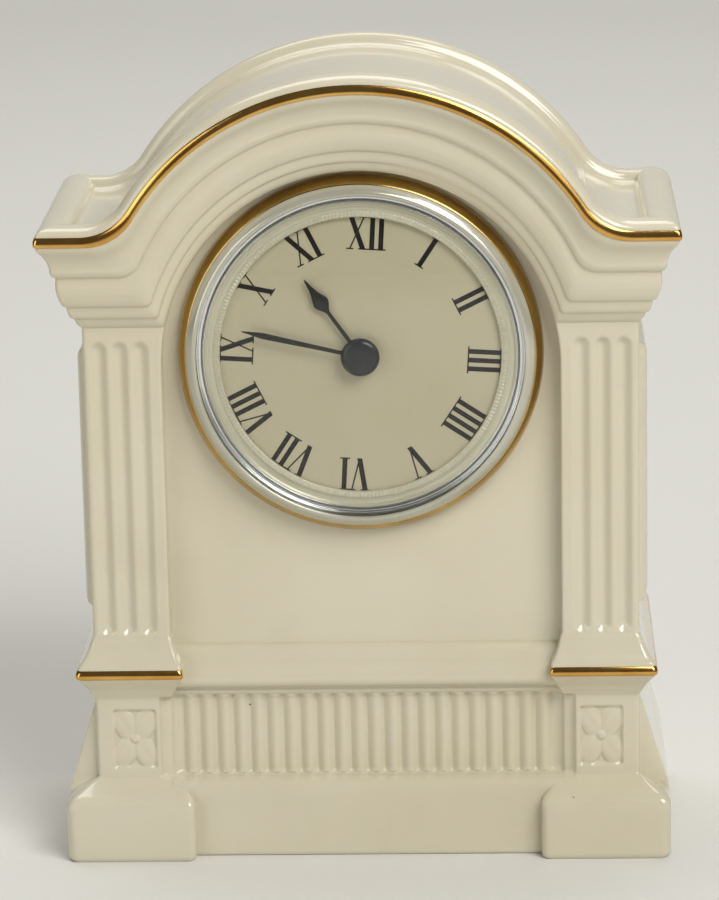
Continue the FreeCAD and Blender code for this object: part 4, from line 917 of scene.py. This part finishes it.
@dataclass
class CentreBase:
    """Plinth, reeded frieze and ledge between the pedestals."""

    half: float = 43.9
    reeds: int = 22
    reed_pitch: float = 3.764
    reed_proud: float = 1.15
    reed_power: float = 1.15
    frieze_depth: float = 3.15
    floor: float = 8.0
    rim: float = 8.0
    recess: float = 1.5
    lift: float = 0.03
    profile: Points = (
        (-2.3, 0.0), (-2.75, 0.2), (-2.9, 0.7), (-2.9, 16.0), (-2.6, 16.7), (-1.6, 17.4), (0.2, 17.75),
        (2.6, 17.9), (3.2, 18.4), (3.2, 36.2), (2.4, 36.5), (1.75, 36.8), (1.4, 37.3), (1.4, 37.9),
        (1.8, 38.35), (1.2, 38.6), (0.3, 38.9), (-0.45, 39.5), (-0.8, 40.5), (-0.75, 41.6), (-0.3, 42.7),
        (0.5, 43.8), (1.35, 44.6), (1.85, 45.0), (2.05, 45.5), (2.4, 46.3), (3.1, 47.05), (4.0, 47.6),
        (4.9, 47.85), (6.0, 47.9),
    )

    def build(self) -> None:
        """Build the body: one section carried across the width, hollow behind, with a recess below.

        The reeds are worked into the frieze: the size of a sine, raised to a power a little over one.
        """
        front = spread(self.profile, 0.3, 0.34)
        inside, back, near = SIZES.panel + SIZES.wall, SIZES.back - SIZES.gap, SIZES.face + self.rim
        behind = np.array([
            (inside, SIZES.niche_floor), (inside, self.floor), (back, self.floor), (back, 0.0),
            (back - self.rim, 0.0), (back - self.rim, self.recess), (near, self.recess), (near, 0.0),
        ])
        y = np.concatenate([front[:, 0] + SIZES.face, behind[:, 0]])
        z = np.maximum(np.concatenate([front[:, 1], behind[:, 1]]), self.lift)
        x = np.linspace(-self.half, self.half, 469)[:, None]
        wave = np.abs(np.sin(math.pi * x / self.reed_pitch))
        bar = self.reed_proud * wave**self.reed_power * (np.abs(x) < self.reeds * self.reed_pitch / 2)
        frieze = between(z, 18.0, 36.5, 0.7) * (np.arange(len(y)) < len(front))
        y = y - np.maximum(bar, self.frieze_depth - cove_depth(x)) * frieze
        porcelain("reeded_base", 48.0).prism(placed(x, y, z)).finished()

    def floor_plate(self) -> None:
        """Build the floor of the hollow and its rear rim, which also close the gaps beside the body."""
        half = SIZES.half - SIZES.wall + 0.7
        near, far = SIZES.panel + SIZES.wall - 0.8, SIZES.back - SIZES.wall + 0.9
        low, high, under = self.recess + 0.05, self.floor - 0.05, 2 * self.lift
        rim = SIZES.back - self.rim
        y = np.array([near, near, far, far, rim, rim])
        z = np.array([low, high, high, under, under, low])
        points = placed(np.linspace(-half, half, 9)[:, None], y, z)
        porcelain("hollow_floor", 40.0).prism(points).finished()


def ring_plate(name: str, outline: Array, rows: Points, hole: tuple[Array, Array], back: float) -> None:
    """Build a plate between an outline and a hole: straight lines from one to the other, closed behind.

    Args:
        name: Name of the piece.
        outline: Points of the outline, widths and heights.
        rows: Share from the hole to the outline, and depth, of each row of the front face.
        hole: Widths and heights of the hole's points, one for each of the outline's.
        back: Depth of the back face.
    """
    share, depth = (np.array(column)[:, None] for column in zip(*rows))
    x, z = (inner * (1 - share) + outer * share for inner, outer in zip(hole, outline.T))
    face = placed(x, depth, z)
    rear = face[::-1][[0, -1]]
    rear[..., 1] = back
    porcelain(name, 40.0).grid(np.concatenate([face, rear])).finished()


@dataclass
class Walls:
    """Front wall of the niche and rear wall of the case, each with its round opening."""

    turns: int = 288
    soft: float = 0.35
    foot: float = 46.6
    edge: float = 0.75
    lowest: float = 0.09

    def niche(self) -> None:
        """Build the niche panel, with a softened edge round its opening."""
        right, up = swing(self.turns, FULL_TURN, False)
        radius = SIZES.niche + self.soft
        offset = SIZES.dial - SIZES.niche_centre
        arch = -offset * up + np.sqrt(radius**2 - (offset * right) ** 2)
        wall = radius / np.maximum(np.abs(right), 1e-6)
        floor = (SIZES.dial - self.foot) / np.maximum(-up, 1e-6)
        above = SIZES.dial + arch * up >= SIZES.niche_centre
        reach = np.where(above, arch, np.minimum(wall, floor))
        outline = np.stack([reach * right, SIZES.dial + reach * up], axis=-1)
        shares = (0.0, 0.03, 0.2, 0.4, 0.6, 0.8, 0.88, 0.93, 0.97, 1.0)
        rows = tuple((share, SIZES.panel + (0.0 if share else 0.3)) for share in shares)
        hole = (SIZES.front_hole * right, SIZES.dial + SIZES.front_hole * up)
        ring_plate("niche_panel", outline, rows, hole, SIZES.panel + SIZES.wall)

    def rear(self) -> None:
        """Build the rear wall: the outline of the case to the round access opening."""
        pier = Pier()
        z = levels((0, 1.4, 5), (2, 53, 80), (56, 121, 24))
        reach = np.maximum(read_off(pier.flank, 0.8, 0.4, z), read_off(pier.profile, 0.5, 0.22, z))
        lower = np.stack([SIZES.half + reach - self.edge, z], axis=-1)
        _, side, drop, rise = Cornice().lines()
        chosen = np.flatnonzero((drop < 21.0) & (side > 0.0))
        chosen = chosen[chosen < len(side) - 2]
        chosen = chosen[: int(np.argmax(rise[chosen] > 3.0)) + 1]
        side, level = side[chosen] - self.edge, (SIZES.line - drop + rise)[chosen]
        middle = np.stack([SIZES.half + side, level], axis=-1)
        crown = ring_path(side[-1:], np.zeros(1), np.array([1.7]), 0.5)
        upper = np.concatenate(crown, axis=1)[::-1]
        middle = middle[middle[:, 1] < upper[0, 1] - 0.1]
        base = np.stack([np.linspace(0, lower[0, 0], 24)[:-1], np.zeros(23)], axis=-1)
        half = np.concatenate([base, lower, middle, upper])
        outline = np.concatenate([half, half[-2:0:-1] * np.array([-1.0, 1.0])])
        outline[:, 1] = np.maximum(outline[:, 1], self.lowest)
        angle = np.arctan2(outline[:, 0], outline[:, 1] - SIZES.dial)
        hole = (SIZES.rear_hole * np.sin(angle), SIZES.dial + SIZES.rear_hole * np.cos(angle))
        steps = ((0.0, 0.8), (0.012, 0.25), (0.03, 0.0), (0.3, 0.0), (0.7, 0.0), (0.985, 0.0), (1.0, 0.04))
        rows = tuple((share, SIZES.back - inset) for share, inset in steps)
        ring_plate("rear_wall", outline, rows, hole, SIZES.back - SIZES.wall)


def lathe(radius: Array, height: Array, turns: int) -> Array:
    """Turn radii and heights about the dial's axis: each point of the profile goes round a circle."""
    sine, cosine = swing(turns, FULL_TURN, False)[..., None]
    return placed(radius * sine, SIZES.panel - height, SIZES.dial + radius * cosine)


@dataclass(frozen=True)
class Turned:
    """A piece turned about the dial's axis from a closed outline of radii and heights."""

    name: str
    finish: Finish
    body: str
    slot: str
    replaces: tuple[str, ...]
    outline: Points
    step: float = 0.25
    softness: float = 0.1
    turns: int = 288

    def build(self) -> None:
        """Build the piece."""
        run = spread((*self.outline, self.outline[0]), self.step, self.softness)
        points = lathe(np.maximum(run[:, 0], 0.0), run[:, 1], self.turns)
        shell = Shell(self.name, self.finish, self.body, self.slot, self.replaces, 45.0)
        shell.grid(points, columns_close=False).finished()


@dataclass
class Optics:
    """Bezel, its front band of gold painted pale cream as a painted reflection of bright surroundings, lens,
    bright ring with its row of beads, and the dial.
    """

    beads: int = 240
    bead_radius: float = 31.6
    bead_reach: float = 0.72
    bead_level: float = 3.40
    bead_height: float = 0.23
    bead_foot: float = 3.2
    lens_radius: float = 36.5
    lens_edge: float = 36.45
    lens_rise: float = 3.0
    lens_crown: float = 6.85
    lens_thickness: float = 1.3
    bezel: tuple[Turned, ...] = (
        Turned(
            "bezel_flank", BEZEL_GOLD, "insert", "bezel_gold", ("bezel",),
            ((39.5, 0.0), (40.18, 0.0), (40.18, 0.5), (40.1, 1.3), (39.85, 2.3), (39.4, 3.2), (38.9, 3.9),
             (38.4, 4.45), (38.1, 4.6), (37.9, 4.3), (38.4, 3.6), (39.0, 2.4), (39.3, 1.0)),
        ),
        # Front bevel of the bezel: the same gold, painted pale as a painted reflection of bright
        # surroundings.
        Turned(
            "bezel_band_painted_reflection", BEZEL_PAINTED_REFLECTION, "insert", "bezel_gold", ("bezel",),
            ((38.25, 4.35), (38.25, 4.62), (37.6, 5.25), (36.9, 5.8), (36.5, 5.98), (36.1, 5.98),
             (35.92, 5.8), (35.92, 5.4), (36.6, 5.2), (37.6, 4.3)),
        ),
    )
    rings: tuple[Turned, ...] = (
        Turned(
            "bright_ring", BRIGHT, "insert", "ring", ("reflector_ring",),
            ((34.3, 3.0), (36.45, 3.0), (36.45, 3.8), (35.75, 3.82), (35.55, 3.6), (35.45, 3.42),
             (35.0, 3.36), (34.65, 3.5), (34.5, 3.8), (34.3, 3.8)), 0.12, 0.06,
        ),
        Turned(
            "pale_ring", PALE_RING, "insert", "ring", ("reflector_ring",),
            ((30.82, 2.42), (31.5, 2.42), (31.5, 3.0), (34.28, 3.0), (34.28, 3.8), (33.95, 3.82),
             (33.75, 3.52), (33.45, 3.4), (33.0, 3.46), (32.7, 3.4), (32.4, 3.34), (30.95, 3.3),
             (30.82, 3.2)), 0.12, 0.06,
        ),
    )
    dial: Turned = Turned(
        "dial_disc", DIAL_FACE, "insert", "dial", ("dial",),
        ((2.4, 2.0), (33.9, 2.0), (33.9, 2.4), (2.4, 2.4)), 0.5, 0.05, 192,
    )

    def lens(self) -> None:
        """Build the lens: two spheres of nearly one radius and a square rim."""
        radius = np.linspace(0, self.lens_edge, 40)
        bow = (self.lens_radius**2 + self.lens_rise**2) / (2 * self.lens_rise)
        low, high = (
            self.lens_crown - bow + np.sqrt((bow + thick) ** 2 - radius**2)
            for thick in (0.0, self.lens_thickness)
        )
        points = lathe(np.concatenate([radius, radius[::-1]]), np.concatenate([high, low[::-1]]), 192)
        shell = Shell("lens_dome", ClearLens(), "insert", "lens", ("lens",), 40.0)
        shell.grid(points, columns_close=False).finished()

    def bead_ring(self) -> None:
        """Build the beaded edge: a band whose height swells and falls along a fine wave."""
        turns = self.beads * 8
        turn = np.linspace(0, FULL_TURN, turns, endpoint=False)[:, None]
        across = np.linspace(-1, 1, 9)
        swell = np.sqrt(np.clip(1 - across**2, 0, 1)) * (0.35 + 0.65 * np.abs(np.sin(self.beads / 2 * turn)))
        radius = self.bead_radius + self.bead_reach * across
        top = lathe(radius, self.bead_level + self.bead_height * swell, turns)
        low = lathe(radius[::-1], np.full(9, self.bead_foot), turns)
        shell = Shell("bead_ring", PALE_RING, "insert", "ring", ("reflector_ring",), 60.0)
        shell.grid(np.concatenate([top, low], axis=1)).finished()

    def build(self) -> None:
        """Build every piece in front of the movement."""
        for piece in self.bezel:
            piece.build()
        self.lens()
        for piece in self.rings:
            piece.build()
        self.bead_ring()
        self.dial.build()


@dataclass
class Numerals:
    """Roman numerals printed on the dial, their tops outwards."""

    height: float = 7.4
    radius: float = 27.15
    thick: float = 1.08
    thin: float = 0.34
    serif: float = 0.30
    pitch: float = 1.95
    wide: float = 4.7
    lean: float = 3.6
    face: float = 2.39
    film: float = 0.03
    film_step: float = 0.0015
    overhang: float = 0.12
    inset: float = 0.95
    marks: tuple[str, ...] = ("XII", "I", "II", "III", "IIII", "V", "VI", "VII", "VIII", "IX", "X", "XI")

    def stroke(self, low: float, high: float, width: float, sink: float = 0.0) -> Array:
        """A slanting stroke with level ends.

        Args:
            low: Middle of its foot.
            high: Middle of its head.
            width: Its width along the level.
            sink: How far its foot goes below the serifs' level.

        Returns:
            Four corners.
        """
        half, end = width / 2, (self.height - self.serif) / 2
        foot = -end - sink
        return np.array([(low - half, foot), (low + half, foot), (high + half, end), (high - half, end)])

    def bar(self, left: float, right: float, way: int) -> Array:
        """A serif bar.

        Args:
            left: Left end.
            right: Right end.
            way: One at the head, minus one at the foot.

        Returns:
            Four corners.
        """
        level = way * (self.height - self.serif) / 2
        low, high = level - self.serif / 2, level + self.serif / 2
        return np.array([(left, low), (right, low), (right, high), (left, high)])

    def glyphs(self, mark: str) -> list[Array]:
        """Strokes and serifs of one numeral, centred on its width.

        Args:
            mark: The numeral.

        Returns:
            Four-cornered outlines.
        """
        strokes: list[Array] = []
        left = 0.0
        reach = self.wide / 2 - self.inset
        for letter in mark:
            wide = self.pitch if letter == "I" else self.wide
            middle = left + wide / 2
            near, far = middle - reach, middle + reach
            if letter == "I":
                end = wide / 2 + self.overhang
                strokes.append(self.stroke(middle, middle, self.thick))
                strokes += [self.bar(middle - end, middle + end, way) for way in (-1, 1)]
            elif letter == "V":
                foot = middle + self.overhang
                strokes.append(self.stroke(foot, near, self.thick * 1.05, 0.1))
                strokes.append(self.stroke(foot, far + 0.15, self.thin, 0.1))
                strokes += [self.bar(near - 1.05, near + 1.0, 1), self.bar(far - 0.65, far + 0.95, 1)]
            else:
                strokes.append(self.stroke(far, near, self.thick * 1.08))
                strokes.append(self.stroke(near, far, self.thin))
                for way, heavy, light in ((-1, far, near), (1, near, far)):
                    strokes.append(self.bar(heavy - 1.0, heavy + 0.95, way))
                    strokes.append(self.bar(light - 0.8, light + 0.75, way))
            left += wide
        return [stroke - np.array([left / 2, 0.0]) for stroke in strokes]

    def build(self) -> None:
        """Build all twelve as one thin printed layer; strokes that cross differ a little in thickness."""
        shell = Shell("numerals", INK, "insert", "dial", (), 30.0)
        level = 0
        for hour, mark in enumerate(self.marks):
            turn = math.radians(hour * 30.0 + self.lean)
            for stroke in self.glyphs(mark):
                level = (level + 1) % 7
                across, up = stroke[:, 0], stroke[:, 1] + self.radius
                x = across * math.cos(turn) + up * math.sin(turn)
                z = SIZES.dial - across * math.sin(turn) + up * math.cos(turn)
                rear = SIZES.panel - self.face
                front = rear - (self.film + self.film_step * level)
                faces = [placed(x, y, z) for y in (rear, front)]
                shell.prism(np.stack(faces))
        shell.finished()


@dataclass(frozen=True)
class Hand:
    """A flat hand with softened edges, from half widths along its length."""

    name: str
    node: str
    body: str
    level: float
    clockwise: float
    outline: Points
    boss: float
    hole: float
    thickness: float = 0.3

    def build(self) -> None:
        """Build the blade and its boss."""
        run = spread(self.outline, 0.25, 0.18)
        across = np.array([-1.0, -0.82, 0.0, 0.82, 1.0])
        lift = self.thickness * np.array([0.45, 0.95, 1.0, 0.95, 0.45])
        x = np.maximum(run[:, 1], 0.06)[:, None] * np.concatenate([across, across[::-1]])
        w = self.level + np.concatenate([lift, np.zeros(5)])
        shell = Shell(self.name, HAND_BLACK, self.body, "hand_black", (self.node,), 40.0)
        shell.prism(self.turned(x, run[:, :1], w))
        sine, cosine = swing(72, FULL_TURN, False)[..., None]
        radius = np.array([self.hole, self.boss, self.boss, self.hole])
        height = self.level + np.array([0.0, 0.0, self.thickness, self.thickness])
        shell.grid(self.turned(radius * sine, radius * cosine, height)).finished()

    def turned(self, x: Array, up: Array, w: Array) -> Array:
        """Turn points of the upright hand clockwise and set them on the dial's axis.

        Args:
            x: Widths.
            up: Distances along the hand.
            w: Heights in front of the niche panel.

        Returns:
            Places by three.
        """
        angle = math.radians(self.clockwise)
        right = x * math.cos(angle) + up * math.sin(angle)
        high = up * math.cos(angle) - x * math.sin(angle)
        return placed(right, SIZES.panel - w, SIZES.dial + high)


@dataclass
class Hands:
    """Hour hand, minute hand and the cap over them."""

    pieces: tuple[Hand | Turned, ...] = (
        Hand(
            "hour_hand_blade", "hour_hand", "hour", 3.4, 325.0,
            ((1.6, 0.48), (11.9, 0.42), (12.5, 0.62), (13.3, 1.25), (14.2, 1.72), (15.0, 1.72), (16.0, 1.34),
             (17.1, 0.86), (18.4, 0.52), (20.0, 0.3), (20.9, 0.1)), 2.58, 1.52,
        ),
        Hand(
            "minute_hand_blade", "minute_hand", "minute", 4.5, 283.1,
            ((0.9, 0.42), (10.0, 0.5), (19.0, 0.66), (22.0, 0.7), (23.4, 0.5), (25.2, 0.27), (26.6, 0.1)),
            2.15, 0.76,
        ),
        Turned(
            "cap_dome", CAP_BLACK, "minute", "cap", ("hand_cap",),
            ((0.0, 4.8), (4.28, 4.8), (4.28, 5.15), (4.0, 5.6), (3.62, 5.95), (3.2, 6.12), (1.6, 6.24),
             (0.0, 6.28)), 0.18, 0.12, 120,
        ),
    )

    def build(self) -> None:
        """Build the three pieces."""
        for piece in self.pieces:
            piece.build()


@dataclass
class CarriedOver:
    """CAD nodes that show as they are, each with its own finish."""

    finishes: tuple[tuple[Finish, tuple[str, ...]], ...] = (
        (BLACK_PLASTIC, ("insert_housing", "battery_cover")),
        (RUBBER, ("gasket",)),
        (WHITE_PLASTIC, ("movement_plate", "movement_bridge", "setting_knob")),
        (STEEL, ("bridge_screws", "rotor_magnet", "stator", "coil_core", "battery", "quartz_crystal")),
        (WHEEL_PLASTIC, (
            "centre_wheel", "third_wheel", "second_wheel", "intermediate_wheel", "rotor_pinion",
            "minute_wheel", "hour_wheel",
        )),
        (BRASS, ("cannon_pinion", "negative_contact", "positive_contact")),
        (COPPER, ("coil_winding",)),
        (BOARD, ("circuit_board",)),
    )

    def dress(self) -> None:
        """Give each node its finish."""
        for finish, names in self.finishes:
            for name in names:
                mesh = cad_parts[name].data
                mesh.materials.clear()
                mesh.materials.append(material_of(finish))
                LOG.info("%s keeps its CAD form", name)


@dataclass(frozen=True)
class Lamp:
    """A soft rectangular lamp: places and sizes in metres, power in watts."""

    name: str
    place: Triple
    power: float
    size: tuple[float, float] = (0.8, 0.7)
    aim: Triple = (0.0, 0.0, 0.09)

    def hang(self) -> None:
        """Hang the lamp."""
        data = bpy.data.lights.new(self.name, "AREA")
        data.shape = "RECTANGLE"
        data.size, data.size_y = self.size
        data.energy = self.power
        made = object_of(self.name, data)
        made.location = self.place
        made.rotation_euler = (Vector(self.aim) - Vector(self.place)).to_track_quat("-Z", "Y").to_euler()


@dataclass
class Studio:
    """Pale floor and backdrop, soft lamps and the camera."""

    image_height: int = 900
    focal_pixels: float = 4044.0
    sensor: float = 36.0
    camera_place: Triple = (30.9, -879.55, 322.5)
    yaw: float = -2.10
    pitch: float = 14.94
    roll: float = -1.15
    floor_reach: float = 2.5
    floor_half: float = 4.0
    bend_from: float = 1.2
    bend_radius: float = 0.8
    backdrop_top: float = 3.0
    floor_colour: Triple = (0.76, 0.75, 0.70)
    sky: tuple[float, ...] = (1.0, 0.99, 0.96, 1.0)
    sky_strength: float = 0.10
    lamps: tuple[Lamp, ...] = (
        Lamp("key", (0.75, -0.95, 0.65), 1.9),
        Lamp("high_key", (0.6, -0.8, 1.0), 12.8),
        Lamp("fill", (-0.9, -0.9, 0.35), 3.8, (0.7, 0.9)),
        Lamp("top", (-0.1, 0.35, 1.15), 6.3, (1.0, 0.7)),
        Lamp("backdrop", (0.0, 0.7, 1.3), 9.1, (1.6, 0.4), (0.0, 2.0, 0.7)),
    )

    def camera(self) -> None:
        """Set the camera that the photograph was taken with."""
        yaw, pitch, roll = (math.radians(turn) for turn in (self.yaw, self.pitch, self.roll))
        level = math.cos(pitch)
        forward = Vector((math.sin(yaw) * level, math.cos(yaw) * level, -math.sin(pitch)))
        right = Vector((math.cos(yaw), -math.sin(yaw), 0.0))
        up = right.cross(forward)
        side = math.cos(roll) * right + math.sin(roll) * up
        above = -math.sin(roll) * right + math.cos(roll) * up
        data = bpy.data.cameras.new("camera")
        data.sensor_fit = "AUTO"
        data.sensor_width = self.sensor
        data.lens = self.sensor * self.focal_pixels / self.image_height
        data.clip_start, data.clip_end = 0.01, 20.0
        made = object_of("camera", data)
        matrix = Matrix((side, above, -forward)).transposed().to_4x4()
        matrix.translation = Vector([along * MILLIMETRE for along in self.camera_place])
        made.matrix_world = matrix
        bpy.context.scene.camera = made

    def stage(self) -> None:
        """Lay the floor: a level sheet that curves up into a backdrop far behind."""
        sine, cosine = swing(24)
        far, radius = self.bend_from + self.bend_radius, self.bend_radius
        depth = np.concatenate([[-self.floor_reach], self.bend_from + radius * sine, [far]])
        height = np.concatenate([[0.0], radius * (1 - cosine), [self.backdrop_top]])
        width = np.array([-self.floor_half, 0.0, self.floor_half])
        points = placed(width, depth[:, None], height[:, None])
        faces = quads(points, False, False).tolist()
        mesh = bpy.data.meshes.new("floor")
        mesh.from_pydata(points.reshape(-1, 3).tolist(), [], faces)
        mesh.polygons.foreach_set("use_smooth", np.ones(len(faces), bool))
        tree = ShaderTree("floor")
        matt = {"Base Color": self.floor_colour, "Roughness": 0.6, "Specular IOR Level": 0.2}
        tree.feed(tree.surface, matt)
        mesh.materials.append(tree.material)
        made = object_of("floor", mesh)

    def build(self) -> None:
        """Set the whole studio."""
        self.camera()
        self.stage()
        for lamp in self.lamps:
            lamp.hang()
        world = bpy.data.worlds.new("studio")
        world.use_nodes = True
        back = world.node_tree.nodes["Background"]
        back.inputs["Color"].default_value = self.sky
        back.inputs["Strength"].default_value = self.sky_strength
        bpy.context.scene.world = world
        bpy.context.scene.view_settings.view_transform = "Standard"


def main() -> None:
    """Build the clock and the studio round it."""
    logging.basicConfig(level=logging.INFO, format="%(message)s")
    CarriedOver().dress()
    Cornice().build()
    for hand in ("right", "left"):
        pier = Pier(hand)
        pier.build()
        pier.gold_band()
    base = CentreBase()
    base.build()
    base.floor_plate()
    walls = Walls()
    walls.niche()
    walls.rear()
    for group in (Optics(), Numerals(), Hands(), Studio()):
        group.build()


if __name__ == "__main__":
    main()
